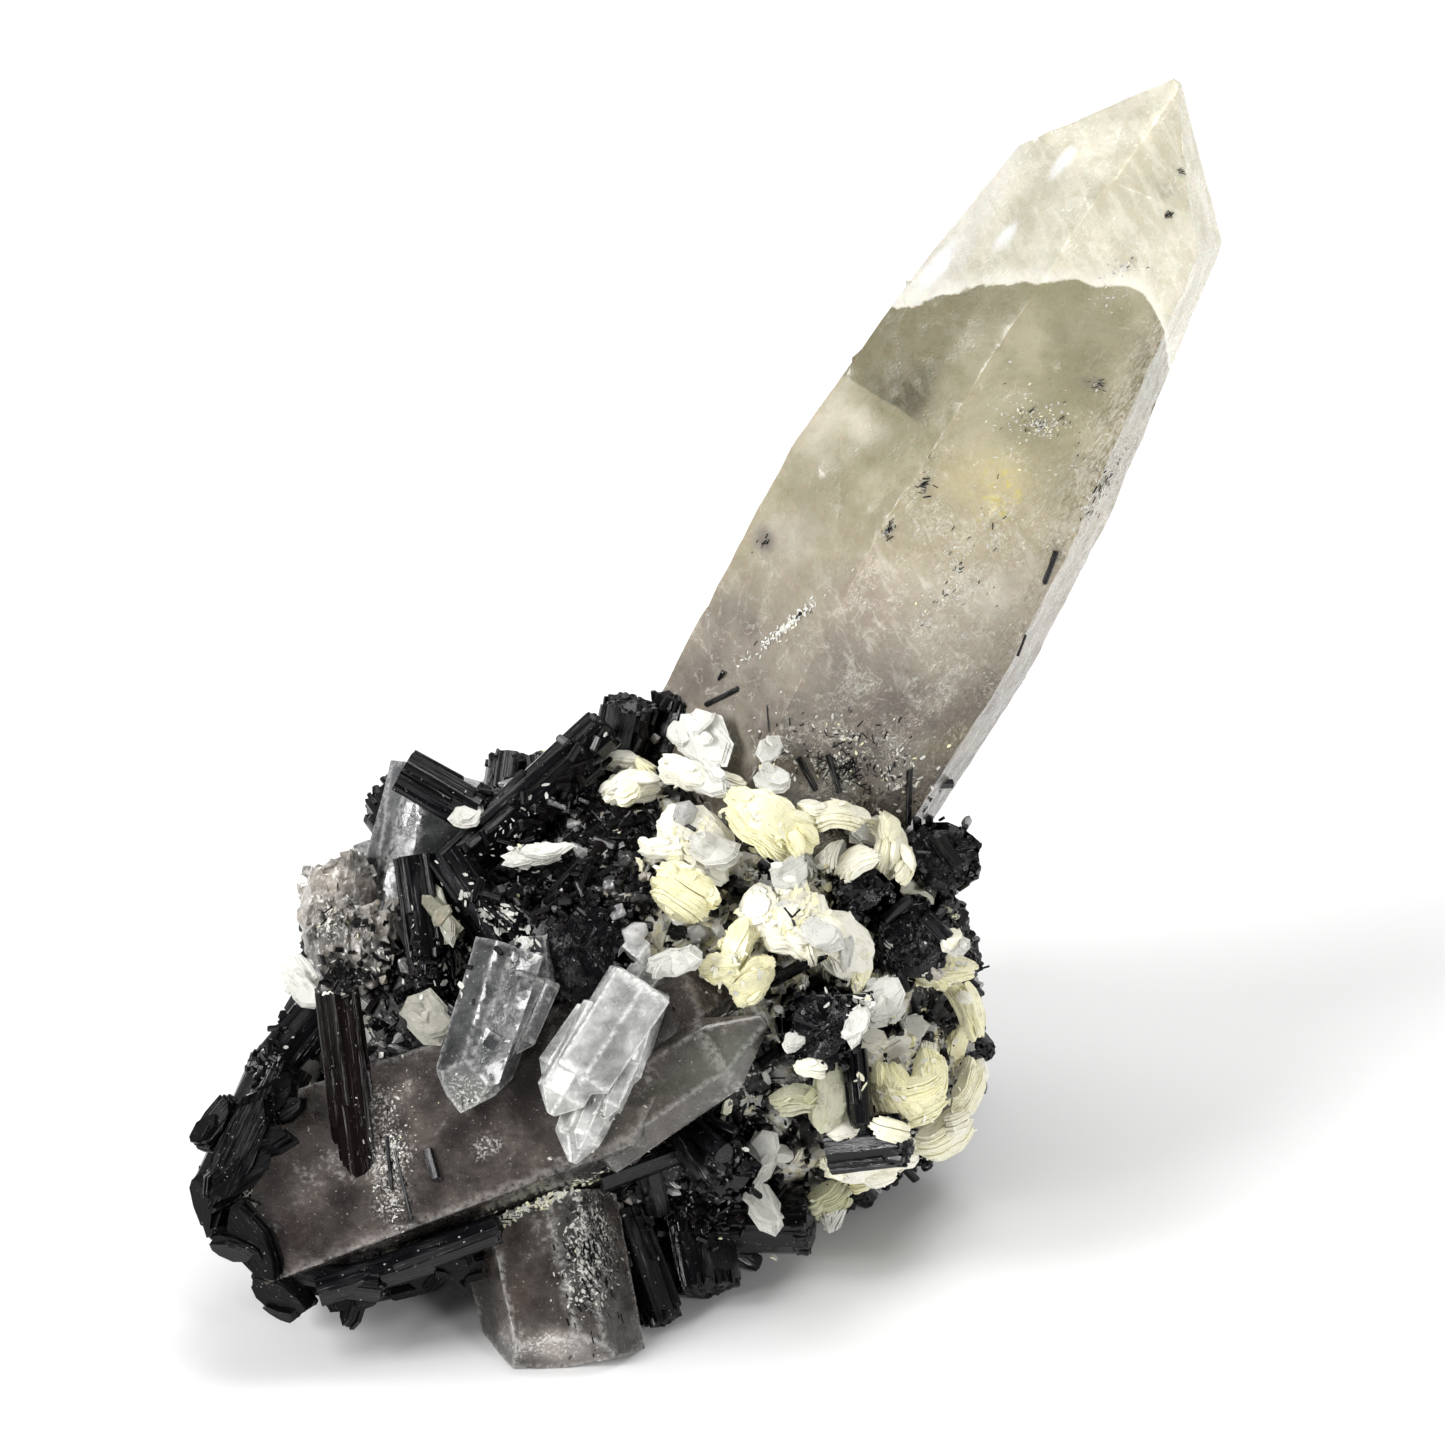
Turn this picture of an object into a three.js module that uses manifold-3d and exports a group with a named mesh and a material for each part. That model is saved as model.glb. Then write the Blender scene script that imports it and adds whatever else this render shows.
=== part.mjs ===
// A hand-sized mineral cluster: one long smoky quartz point standing on a matrix of
// black schorl prisms, smaller quartz crystals and pale muscovite mica books.
// Sizes are in millimetres. Pieces are placed on the specimen's face: x to the right, y up the
// face and z out of it. The face leans back, and the matrix is broken off flat underneath.
import * as THREE from "three";
import { mergeVertices } from "three/addons/utils/BufferGeometryUtils.js";
import Module from "manifold-3d";

const wasm = await Module();
wasm.setup();

// Driving dimensions
const faceLean = 30; // degrees that the face leans back from upright
const seam = 0.35; // open seam between two minerals that grew against each other
const rhombAngle = 51.8; // degrees between a quartz tip face and the plane across the crystal
const pointRadius = 13.7; // the long point, from its axis to a corner, at its widest
const pointLength = 78.3;
const leafOverlap = 1.12; // each mica leaf sinks a little into the next one
const tidyTolerance = 0.1; // slivers finer than this are smoothed away where pieces meet
const rockCentre = new THREE.Vector3(2, 27, -20);
const rockFrontDepth = 20;
const rockBackDepth = 24;

const colours = {
  smokyPoint: { color: 0xb9b39c, roughness: 0.2, metalness: 0 },
  darkSmoky: { color: 0x4a4543, roughness: 0.15, metalness: 0 },
  clearQuartz: { color: 0xc9cbc6, roughness: 0.15, metalness: 0 },
  milkyQuartz: { color: 0xa59f94, roughness: 0.4, metalness: 0 },
  schorl: { color: 0x0f0f12, roughness: 0.25, metalness: 0 },
  creamMica: { color: 0xe6e0bd, roughness: 0.45, metalness: 0 },
  whiteMica: { color: 0xf2f2ee, roughness: 0.3, metalness: 0 },
  matrix: { color: 0x2b2a2b, roughness: 0.7, metalness: 0 },
};

const zAxis = new THREE.Vector3(0, 0, 1);
const radians = THREE.MathUtils.degToRad;

// A small repeatable random source, so that the rock comes out the same each time.
function seededRandom(seed) {
  let state = seed;
  return () => {
    state = (state * 1664525 + 1013904223) % 4294967296;
    return state / 4294967296;
  };
}

// Turns a closed three.js geometry into a solid that can be joined and cut.
function solidFrom(geometry) {
  const bare = geometry.clone();
  bare.deleteAttribute("normal");
  bare.deleteAttribute("uv");
  const merged = mergeVertices(bare, 1e-4);
  return new wasm.Manifold(
    new wasm.Mesh({
      numProp: 3,
      vertProperties: merged.attributes.position.array,
      triVerts: new Uint32Array(merged.index.array),
    }),
  );
}

function geometryFrom(solid) {
  const mesh = solid.getMesh();
  const geometry = new THREE.BufferGeometry();
  geometry.setAttribute("position", new THREE.BufferAttribute(mesh.vertProperties, 3));
  geometry.setIndex(new THREE.BufferAttribute(mesh.triVerts, 1));
  return geometry;
}

// Places a geometry made along +z: its root goes to a point, and it points along a direction.
function place(geometry, at, direction, spin = 0) {
  const turn = new THREE.Quaternion().setFromUnitVectors(
    zAxis,
    new THREE.Vector3(...direction).normalize(),
  );
  turn.multiply(new THREE.Quaternion().setFromAxisAngle(zAxis, radians(spin)));
  geometry.applyQuaternion(turn);
  geometry.translate(...at);
  return geometry;
}

// An upright prism from z = 0 to its length.
function uprightPrism(topRadius, rootRadius, length, sides) {
  const geometry = new THREE.CylinderGeometry(topRadius, rootRadius, length, sides, 1);
  geometry.rotateX(Math.PI / 2);
  geometry.translate(0, 0, length / 2);
  return geometry;
}

// Keeps the side of a solid that a plane's outward normal points away from.
function cutAcross(solid, normal, distance) {
  return solid.trimByPlane([-normal[0], -normal[1], -normal[2]], -distance);
}

// The outward normal of a face that looks along an azimuth and is tipped up by some degrees.
function faceNormal(azimuth, tip) {
  return [
    Math.cos(radians(azimuth)) * Math.cos(radians(tip)),
    Math.sin(radians(azimuth)) * Math.cos(radians(tip)),
    Math.sin(radians(tip)),
  ];
}

// Places quartz made along +z so that the side on its +x looks towards the front, then spins it.
function placeFacing(solid, { at, along, front = [0, 0, 1], spin = 0 }) {
  const axis = new THREE.Vector3(...along).normalize();
  const side = new THREE.Vector3().crossVectors(axis, new THREE.Vector3(...front)).normalize();
  const facing = new THREE.Vector3().crossVectors(side, axis);
  const geometry = geometryFrom(solid).rotateZ(radians(spin));
  geometry.applyMatrix4(new THREE.Matrix4().makeBasis(facing, side, axis));
  geometry.translate(...at);
  return solidFrom(geometry);
}

// An upright six-sided quartz prism. Its front side can be set in, which makes that side wider.
function quartzPrism(radius, length, taper, setIn, grow) {
  const prism = uprightPrism((radius + grow) * taper, radius + grow, length + 2 * grow, 6);
  prism.rotateZ(Math.PI / 6);
  const reach = radius * Math.cos(radians(30)) * (1 - setIn) + grow;
  return cutAcross(solidFrom(prism), [1, 0, 0], reach);
}

// A quartz crystal: a tapered prism with six tip faces. Every second face is set back from the apex.
function quartzCrystal(crystal, grow = 0) {
  const { radius, length, taper = 0.9, setIn = 0, apex = [0, 0], setBack = 0.6 } = crystal;
  let solid = quartzPrism(radius, length, taper, setIn, grow);
  for (let face = 0; face < 6; face++) {
    const normal = faceNormal(face * 60, 90 - rhombAngle);
    const tip = new THREE.Vector3(apex[0], apex[1], length + 1.6 * grow);
    const distance = new THREE.Vector3(...normal).dot(tip);
    solid = cutAcross(solid, normal, distance + (face % 2 ? setBack : 0));
  }
  return placeFacing(solid, crystal);
}

// A quartz prism whose end is broken off: a slanting break with one chipped corner.
function brokenQuartz(crystal, grow = 0) {
  const { radius, length, taper = 0.96, setIn = 0, breakTip = 12 } = crystal;
  const slant = faceNormal(200, 90 - breakTip);
  const chip = faceNormal(30, 45);
  let solid = quartzPrism(radius, length, taper, setIn, grow);
  solid = cutAcross(solid, slant, slant[2] * (length + grow) - radius * 0.1);
  solid = cutAcross(solid, chip, chip[2] * (length + grow) + radius * 0.35);
  return placeFacing(solid, crystal);
}

// A schorl prism: a rounded triangle in section, with a low three-sided end.
function schorlPrism({ at, along, spin = 0, radius, length, end = 0.25 }, grow = 0) {
  const prism = uprightPrism(radius + grow, radius + grow, length + grow, 9);
  const position = prism.attributes.position;
  for (let i = 0; i < position.count; i++) {
    const x = position.getX(i);
    const y = position.getY(i);
    const corner = Math.round(Math.atan2(y, x) / radians(40));
    const inset = Math.abs(corner % 3) === 1 ? 0.9 : 1;
    position.setXY(i, x * inset, y * inset);
    const onAxis = Math.hypot(x, y) < 1e-6;
    if (onAxis && position.getZ(i) > length / 2) position.setZ(i, length + grow + radius * end);
  }
  return solidFrom(place(prism, at, along, spin));
}

// One mica leaf: a six-cornered slab, longest along x, bent over the y axis.
function micaLeaf(length, width, thickness, lift, curveRadius) {
  const leaf = new THREE.CylinderGeometry(0.5, 0.5, thickness, 6, 1);
  leaf.rotateX(Math.PI / 2);
  leaf.rotateZ(Math.PI / 2);
  leaf.scale(length, width * 1.08, 1);
  leaf.translate(0, 0, lift);
  const position = leaf.attributes.position;
  for (let i = 0; i < position.count; i++) {
    const angle = position.getX(i) / curveRadius;
    const reach = curveRadius + position.getZ(i);
    position.setXYZ(i, reach * Math.sin(angle), position.getY(i), reach * Math.cos(angle) - curveRadius);
  }
  return leaf;
}

// A mica book: two bent leaves of unlike size, stacked towards the side that it faces.
function micaBook({ at, faces, spin = 0, length, width, thickness, bend = 40 }) {
  const leafSizes = [1, 0.84];
  const leafThickness = thickness / leafSizes.length;
  const curveRadius = length / radians(bend);
  const leaves = leafSizes.map((size, i) => {
    const lift = (i - (leafSizes.length - 1) / 2) * leafThickness;
    const leaf = micaLeaf(length * size, width * (1.84 - size), leafThickness * leafOverlap, lift, curveRadius);
    return solidFrom(place(leaf, at, faces, spin));
  });
  return joined(leaves);
}

// The room that a mica book takes up between its neighbours: one slab with a seam all round.
function micaRoom({ at, faces, spin = 0, length, width, thickness, bend = 40 }) {
  const spread = 2.3 * seam;
  const curveRadius = length / radians(bend);
  const bulge = curveRadius * (1 - Math.cos(radians(bend) / 4));
  const slab = micaLeaf(
    length + spread,
    width + spread,
    thickness * leafOverlap + 2 * seam + bulge,
    0,
    curveRadius,
  );
  return solidFrom(place(slab, at, faces, spin));
}

// The long point. Azimuths run round its axis, where 0 is the specimen's right and -90 the front.
// Each side is cut by planes of [height above the root, reach from the axis, lean inwards].
const pointPlace = { at: [10.25, 36.15, -19], along: [0.4475, 0.8639, 0.23] };
const pointApex = [1.5, -0.4, pointLength];
const pointSides = [
  { azimuth: -10, tipStep: 0, planes: [[28, 11.9, -5], [35, 11.9, 0], [43, 11.9, 4.7]] },
  { azimuth: -70, tipStep: 0.8, planes: [[35, 10.7, 0.5], [42, 10.7, 3.5], [54, 10, 6]] },
  { azimuth: -130, tipStep: 0.6, planes: [[38, 11.9, 0.6], [38, 11.9, 7.2], [54, 9.9, 10.7]] },
  { azimuth: 170, tipStep: 0.6, planes: [[38, 11.9, 0.6], [38, 11.9, 7.2], [54, 9.9, 10.7]] },
  { azimuth: 110, tipStep: 1.2, planes: [[38, 11.6, 0.5], [40, 11.6, 4], [56, 10.5, 7]] },
  { azimuth: 50, tipStep: 0, planes: [[28, 10.7, -4], [35, 10.7, 0], [43, 10.7, 4.7]] },
];

function longPoint(grow = 0) {
  let crystal = solidFrom(uprightPrism(pointRadius * 2, pointRadius * 2, pointLength + grow, 6));
  for (const { azimuth, tipStep, planes } of pointSides) {
    for (const [height, reach, lean] of planes) {
      const normal = faceNormal(azimuth, lean);
      const distance = reach * Math.cos(radians(lean)) + height * normal[2];
      crystal = cutAcross(crystal, normal, distance + grow);
    }
    const tipFace = faceNormal(azimuth, 90 - rhombAngle);
    const distance = new THREE.Vector3(...tipFace).dot(new THREE.Vector3(...pointApex));
    crystal = cutAcross(crystal, tipFace, distance + tipStep + grow);
  }
  const geometry = geometryFrom(crystal);
  // Local axes: x to the specimen's right across the point, z along it, -y towards the viewer.
  const along = new THREE.Vector3(...pointPlace.along).normalize();
  const across = new THREE.Vector3(along.y, -along.x, 0).normalize();
  const away = new THREE.Vector3().crossVectors(along, across);
  geometry.applyMatrix4(new THREE.Matrix4().makeBasis(across, away, along));
  geometry.translate(...pointPlace.at);
  return solidFrom(geometry);
}

// Each quartz node is one crystal, or several that grew through each other.
const quartzNodes = {
  lying_smoky_quartz: {
    look: "darkSmoky",
    crystals: [
      {
        at: [-28.4, 12.4, -2], along: [0.94, 0.342, 0.03], front: [-0.1, 0.3, 1], radius: 8.4, length: 44.5,
        taper: 0.9, setIn: 0.42, apex: [0.5, -4.6], setBack: 0.8,
      },
    ],
  },
  bottom_smoky_quartz: {
    look: "darkSmoky",
    broken: true,
    crystals: [{ at: [-5.6, 15, -5], along: [0.2, -0.97, 0.1], spin: -24, radius: 6.6, length: 15.6 }],
  },
  upper_smoky_quartz: {
    look: "clearQuartz",
    broken: true,
    crystals: [
      { at: [-16.2, 34.5, -11], along: [0.24, 0.96, 0.06], spin: -22, radius: 4.5, length: 14 },
      { at: [-17.4, 36.4, -13], along: [-0.2, 0.95, -0.05], spin: 10, radius: 2.2, length: 6 },
    ],
  },
  milky_quartz: {
    look: "milkyQuartz",
    broken: true,
    crystals: [
      { at: [-20.4, 30.4, -9], along: [-0.1, 0.98, 0.12], spin: 15, radius: 3.7, length: 10.8 },
      { at: [-18.6, 31, -7], along: [0.12, 0.97, 0.16], spin: 40, radius: 2.4, length: 6.4 },
    ],
  },
  clear_quartz_front: {
    look: "clearQuartz",
    crystals: [
      { at: [4.4, 31.6, 4.6], along: [-0.63, -0.75, 0.14], spin: 12, radius: 3.5, length: 12.8, apex: [0.8, 0] },
      { at: [0.8, 29.8, 3.4], along: [-0.5, -0.86, 0.08], spin: 30, radius: 2.5, length: 10.6 },
      { at: [2.6, 26.8, 3.2], along: [-0.46, -0.88, 0.1], spin: 0, radius: 2.6, length: 11 },
    ],
  },
  clear_quartz_middle: {
    look: "clearQuartz",
    crystals: [
      { at: [-6.8, 33.6, 2.2], along: [-0.31, -0.94, 0.14], spin: 16, radius: 3.4, length: 13.8 },
      { at: [-5.4, 34.4, 1.2], along: [0.1, -0.96, 0.22], spin: 25, radius: 1.9, length: 6.6 },
    ],
  },
  small_quartz_stub: {
    look: "clearQuartz",
    crystals: [{ at: [3, 29.5, 3], along: [-0.05, 0.94, 0.33], spin: 10, radius: 1.5, length: 6 }],
  },
  grey_quartz: {
    look: "milkyQuartz",
    broken: true,
    crystals: [{ at: [6.2, 28.2, -6], along: [0.15, 0.2, 0.96], front: [0, 1, 0], spin: 15, radius: 3.5, length: 8 }],
  },
  back_quartz_tall: {
    look: "darkSmoky",
    crystals: [{ at: [-4, 33, -32], along: [-0.25, 0.75, -0.62], spin: 20, radius: 5, length: 20 }],
  },
  back_quartz_short: {
    look: "clearQuartz",
    crystals: [
      { at: [14, 34, -34], along: [0.55, 0.35, -0.75], spin: 5, radius: 3.6, length: 15 },
      { at: [11, 33, -35], along: [0.15, 0.45, -0.88], spin: 25, radius: 2.6, length: 12 },
    ],
  },
};

// Each schorl node is one black prism, or a bundle of prisms that touch.
const schorlNodes = {
  schorl_base: [{ at: [-8.4, 9.8, -4], along: [-0.96, -0.22, 0.02], radius: 2.7, length: 14 }],
  schorl_bottom_stub: [{ at: [1.8, 12.6, -6], along: [0.33, -0.94, 0.06], radius: 1.8, length: 9.4 }],
  schorl_bottom_cluster: [
    { at: [6.6, 16, -9.5], along: [0.18, -0.96, 0.16], spin: 20, radius: 3.2, length: 10 },
    { at: [7.6, 11.6, -9], along: [0.97, -0.02, 0.14], spin: 50, radius: 3, length: 9 },
    { at: [9.4, 19, -8], along: [0.1, -0.35, 0.93], spin: 10, radius: 2.8, length: 9 },
  ],
  schorl_centre: [
    { at: [17.2, 27.6, -9], along: [0.02, -0.03, 1], spin: 15, radius: 3.7, length: 13.5, end: 0.1 },
    { at: [17.6, 29.4, 2.2], along: [0.98, 0.02, 0.2], spin: 5, radius: 0.8, length: 4.2 },
  ],
  schorl_right_low: [
    { at: [20.3, 25.6, 0.4], along: [0.1, -0.98, 0.12], radius: 1.1, length: 6 },
    { at: [18.6, 17.6, -2.2], along: [0.93, 0.12, 0.33], spin: 15, radius: 2.3, length: 6 },
  ],
  schorl_right_high: [
    { at: [24, 38.5, -15], along: [0.32, 0.22, 0.92], spin: 20, radius: 3.6, length: 11.5, end: 0.15 },
    { at: [23.4, 35, -14], along: [0.16, -0.05, 0.98], spin: 45, radius: 3.7, length: 12, end: 0.1 },
    { at: [20.6, 37.6, -10], along: [0.05, 0.08, 1], spin: 5, radius: 2.6, length: 9.5, end: 0.2 },
  ],
  schorl_long_blade: [{ at: [-11.8, 40, -6.5], along: [0.73, 0.68, 0.04], spin: 30, radius: 2.2, length: 16.4 }],
  schorl_upper_end: [{ at: [-15.9, 48, -6.6], along: [0.86, -0.5, 0.05], spin: 10, radius: 2, length: 6.8 }],
  schorl_top_crown: [
    { at: [1, 46.2, -11], along: [0.2, 0.93, 0.3], spin: 15, radius: 2.6, length: 7.4 },
    { at: [4.4, 46.5, -11.6], along: [0.25, 0.95, 0.15], spin: 40, radius: 2.2, length: 7.4 },
  ],
  schorl_upright: [{ at: [-21.3, 30.4, 2.4], along: [0.12, -0.99, 0.02], spin: 20, radius: 2, length: 15.6 }],
  schorl_left_blade: [{ at: [-15, 41, -3.6], along: [0.15, -0.98, 0.12], spin: 10, radius: 1.8, length: 11 }],
  schorl_slanted_pair: [
    { at: [-12.6, 41, -3.6], along: [0.56, -0.82, 0.12], spin: 20, radius: 2.1, length: 10.4 },
    { at: [-8.8, 37.8, -0.6], along: [0.76, -0.62, 0.14], spin: 40, radius: 1.2, length: 6.6 },
  ],
  schorl_block: [{ at: [-0.4, 33.4, -10], along: [-0.1, 0.02, 1], spin: 28, radius: 4.8, length: 12.4, end: 0.06 }],
  schorl_left_end: [
    { at: [-22.6, 28.6, -9], along: [-0.6, -0.76, 0.24], spin: 15, radius: 2.2, length: 7.4 },
    { at: [-25.6, 24.4, -6], along: [-0.42, -0.9, 0.1], spin: 35, radius: 2.7, length: 11.4 },
  ],
  back_schorl_high: [
    { at: [-12, 38, -24], along: [-0.45, 0.62, -0.64], spin: 10, radius: 3, length: 12 },
    { at: [-9, 40, -25], along: [0.1, 0.75, -0.65], spin: 30, radius: 2.2, length: 11 },
  ],
  back_schorl_right: [
    { at: [20, 30, -28], along: [0.8, 0.25, -0.55], spin: 25, radius: 3.2, length: 12 },
    { at: [18, 25, -30], along: [0.88, -0.05, -0.46], spin: 5, radius: 2.3, length: 12 },
  ],
  back_schorl_low: [
    { at: [-14, 26, -30], along: [-0.62, 0.28, -0.73], spin: 15, radius: 3.4, length: 12 },
    { at: [0, 30, -36], along: [0.12, 0.35, -0.93], spin: 20, radius: 3, length: 12 },
  ],
};

// Each mica node is one book of leaves, or a few books grown into a rosette.
const micaNodes = {
  mica_upper_left: { look: "creamMica", books: [{ at: [2.2, 46.8, -5.4], faces: [-0.25, 0.75, 0.6], spin: 10, length: 4.4, width: 3, thickness: 1.8, bend: 70 }] },
  mica_white_crown: {
    look: "whiteMica",
    books: [
      { at: [8.1, 50.6, -4], faces: [-0.2, 0.3, 0.93], spin: -40, length: 6, width: 4.4, thickness: 1.3, bend: 25 },
      { at: [8.4, 47.2, -3.2], faces: [-0.1, 0.6, 0.8], spin: -30, length: 5.4, width: 2.8, thickness: 1.6, bend: 50 },
    ],
  },
  mica_white_ledge: {
    look: "whiteMica",
    books: [
      { at: [13.9, 47.2, -0.6], faces: [0.2, 0.5, 0.84], spin: -15, length: 3.8, width: 3, thickness: 1.4, bend: 50 },
      { at: [13.5, 49.6, -0.7], faces: [0.4, 0.4, 0.8], spin: 60, length: 3.4, width: 1.9, thickness: 1.3, bend: 40 },
    ],
  },
  mica_great_book: { look: "creamMica", books: [{ at: [13.8, 43.8, 1.6], faces: [0.38, 0.52, 0.76], spin: -38, length: 7.4, width: 4.4, thickness: 2.6, bend: 85 }] },
  mica_arch: { look: "creamMica", books: [{ at: [18.9, 44.6, -0.2], faces: [0, 0.88, 0.48], spin: 4, length: 5.2, width: 2.6, thickness: 1.5, bend: 120 }] },
  mica_right_arch: { look: "creamMica", books: [{ at: [23.4, 41.8, -2.6], faces: [0.82, 0.3, 0.48], spin: 80, length: 6.8, width: 2.6, thickness: 1.6, bend: 130 }] },
  mica_round: { look: "whiteMica", books: [{ at: [15.6, 39.6, 3.2], faces: [0.3, 0.05, 0.95], spin: 40, length: 3.9, width: 3.8, thickness: 1.5, bend: 35 }] },
  mica_fan: {
    look: "creamMica",
    books: [
      { at: [7.8, 42.2, -1.2], faces: [0.15, 0.25, 0.95], spin: -42, length: 6.8, width: 4.6, thickness: 2.2, bend: 45 },
      { at: [4.9, 41.8, -0.4], faces: [-0.2, 0.75, 0.62], spin: -18, length: 3.8, width: 1.8, thickness: 1, bend: 30 },
    ],
  },
  mica_yellow_book: { look: "creamMica", books: [{ at: [6.7, 38.3, 2], faces: [0.12, 0.35, 0.93], spin: -28, length: 5, width: 3.9, thickness: 2.6, bend: 65 }] },
  mica_central_mass: {
    look: "creamMica",
    books: [
      { at: [12.7, 36.6, 1.2], faces: [-0.25, 0.3, 0.92], spin: 80, length: 3.8, width: 3.4, thickness: 2.2, bend: 50 },
      { at: [16, 35.8, 1.8], faces: [0.15, 0.3, 0.94], spin: -20, length: 6, width: 5, thickness: 2.4, bend: 40 },
      { at: [19.4, 33.9, 0.2], faces: [0.42, 0.05, 0.9], spin: -42, length: 5.8, width: 4.2, thickness: 1.6, bend: 25 },
    ],
  },
  mica_yellow_lobes: {
    look: "creamMica",
    books: [
      { at: [11, 34, 2], faces: [-0.3, 0.2, 0.93], spin: 75, length: 4.4, width: 2.2, thickness: 2, bend: 70 },
      { at: [9.7, 32.2, 2.8], faces: [-0.35, 0.45, 0.82], spin: -15, length: 3.2, width: 2.2, thickness: 1.6, bend: 70 },
      { at: [12.2, 31.2, 2.4], faces: [0.3, -0.35, 0.88], spin: 35, length: 3.9, width: 2.8, thickness: 2, bend: 80 },
    ],
  },
  mica_upright_blade: { look: "creamMica", books: [{ at: [20.9, 32.2, -0.6], faces: [0.55, 0.15, 0.82], spin: 68, length: 5.2, width: 2, thickness: 1.3, bend: 25 }] },
  mica_right_ledge: {
    look: "creamMica",
    books: [
      { at: [27.3, 32.2, -5.8], faces: [0.1, 0.7, 0.7], spin: 0, length: 5.6, width: 2.4, thickness: 1.8, bend: 22 },
      { at: [29.8, 28.6, -8.6], faces: [0.8, 0.3, 0.5], spin: -60, length: 4.8, width: 2.6, thickness: 1.5, bend: 50 },
    ],
  },
  mica_golden_rosette: {
    look: "creamMica",
    books: [
      { at: [23.6, 21.9, -1.4], faces: [-0.35, -0.1, 0.93], spin: -55, length: 5.4, width: 3.2, thickness: 2.2, bend: 60 },
      { at: [25.4, 21.6, -1.2], faces: [0.15, -0.45, 0.88], spin: 10, length: 4.6, width: 3.6, thickness: 2.4, bend: 60 },
      { at: [26.4, 23.2, -2.2], faces: [0.55, 0.2, 0.8], spin: 70, length: 4.8, width: 2.8, thickness: 2, bend: 60 },
    ],
  },
  mica_green_pair: {
    look: "creamMica",
    books: [
      { at: [18.6, 21.9, 0.4], faces: [0.3, -0.1, 0.95], spin: 78, length: 5.4, width: 3.2, thickness: 1.6, bend: 35 },
      { at: [15.8, 21.8, 1], faces: [-0.05, 0.75, 0.65], spin: 5, length: 4.2, width: 2, thickness: 1.5, bend: 70 },
    ],
  },
  mica_right_rim: {
    look: "creamMica",
    books: [
      { at: [29.8, 22, -10.4], faces: [0.75, -0.1, 0.65], spin: 55, length: 4.8, width: 2.4, thickness: 1.5, bend: 40 },
      { at: [27.8, 18.4, -10], faces: [0.4, -0.5, 0.76], spin: 25, length: 5, width: 3.2, thickness: 2, bend: 45 },
    ],
  },
  mica_cup: { look: "creamMica", books: [{ at: [21.6, 15.9, -4.2], faces: [0.15, -0.82, 0.55], spin: 12, length: 7.6, width: 3, thickness: 1.3, bend: 85 }] },
  mica_low_crescent: { look: "creamMica", books: [{ at: [18.2, 13.1, -8], faces: [0.35, -0.6, 0.7], spin: 25, length: 3.9, width: 2.8, thickness: 1.7, bend: 60 }] },
  mica_low_white: {
    look: "whiteMica",
    books: [
      { at: [12.8, 16.1, -3], faces: [-0.35, 0.3, 0.88], spin: 48, length: 5.2, width: 2.6, thickness: 1.5, bend: 40 },
      { at: [13.2, 12.6, -4.4], faces: [0.05, 0.3, 0.95], spin: -60, length: 4.8, width: 2.6, thickness: 1.1, bend: 30 },
    ],
  },
  mica_left: { look: "whiteMica", books: [{ at: [-24.2, 31.4, -5.8], faces: [-0.3, 0.2, 0.93], spin: -50, length: 4.4, width: 3, thickness: 1.6, bend: 45 }] },
  mica_between_blades: { look: "creamMica", books: [{ at: [-12.9, 36.6, -1.8], faces: [-0.3, 0.25, 0.92], spin: -62, length: 4.8, width: 1.8, thickness: 1.4, bend: 50 }] },
  mica_left_plates: { look: "creamMica", books: [{ at: [-13.8, 28.2, 1.4], faces: [0.05, 0.1, 0.99], spin: -52, length: 5.2, width: 3.4, thickness: 1.2, bend: 25 }] },
  mica_white_blade: { look: "whiteMica", books: [{ at: [-5.8, 41, -2.6], faces: [-0.1, 0.5, 0.86], spin: 8, length: 5.2, width: 2, thickness: 1.1, bend: 30 }] },
  mica_white_cradle: { look: "whiteMica", books: [{ at: [5.9, 32.6, 4.6], faces: [0.1, -0.45, 0.88], spin: 12, length: 5.4, width: 2.2, thickness: 1.1, bend: 70 }] },
  mica_white_plate: { look: "whiteMica", books: [{ at: [-26.2, 21.2, -1.4], faces: [0.1, 0.05, 0.99], spin: 46, length: 4.4, width: 2.6, thickness: 0.9, bend: 12 }] },
  mica_white_tuft: { look: "whiteMica", books: [{ at: [22.6, 29, -1], faces: [0.25, 0.3, 0.92], spin: 30, length: 5, width: 3.2, thickness: 1.3, bend: 35 }] },
  back_mica_rosette: {
    look: "creamMica",
    books: [
      { at: [6, 43, -37.6], faces: [0.1, 0.62, -0.78], spin: 10, length: 6.4, width: 4.6, thickness: 2.2, bend: 60 },
      { at: [10, 41.6, -38], faces: [0.5, 0.4, -0.76], spin: 60, length: 5.4, width: 4, thickness: 2, bend: 60 },
    ],
  },
  back_mica_left: { look: "creamMica", books: [{ at: [-17, 37, -29.4], faces: [-0.7, 0.35, -0.62], spin: 30, length: 6, width: 4.4, thickness: 2.2, bend: 55 }] },
};

// How far the matrix reaches from its centre at each angle across the face, in degrees.
const rockOutline = [
  [0, 28], [15, 29], [30, 30], [60, 25.5], [90, 24.6], [105, 23], [120, 21], [145, 23], [160, 25.5],
  [175, 26.5], [187, 28], [200, 31], [215, 26.5], [240, 20.5], [262, 21], [285, 20.5], [310, 21.5],
  [335, 26], [348, 28],
];

function rockReach(angle) {
  const next = rockOutline.findIndex(([a]) => a > angle);
  const after = next < 0 ? [360, rockOutline[0][1]] : rockOutline[next];
  const before = rockOutline[(next < 0 ? rockOutline.length : next) - 1];
  const share = (angle - before[0]) / (after[0] - before[0]);
  return before[1] + (after[1] - before[1]) * share;
}

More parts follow.
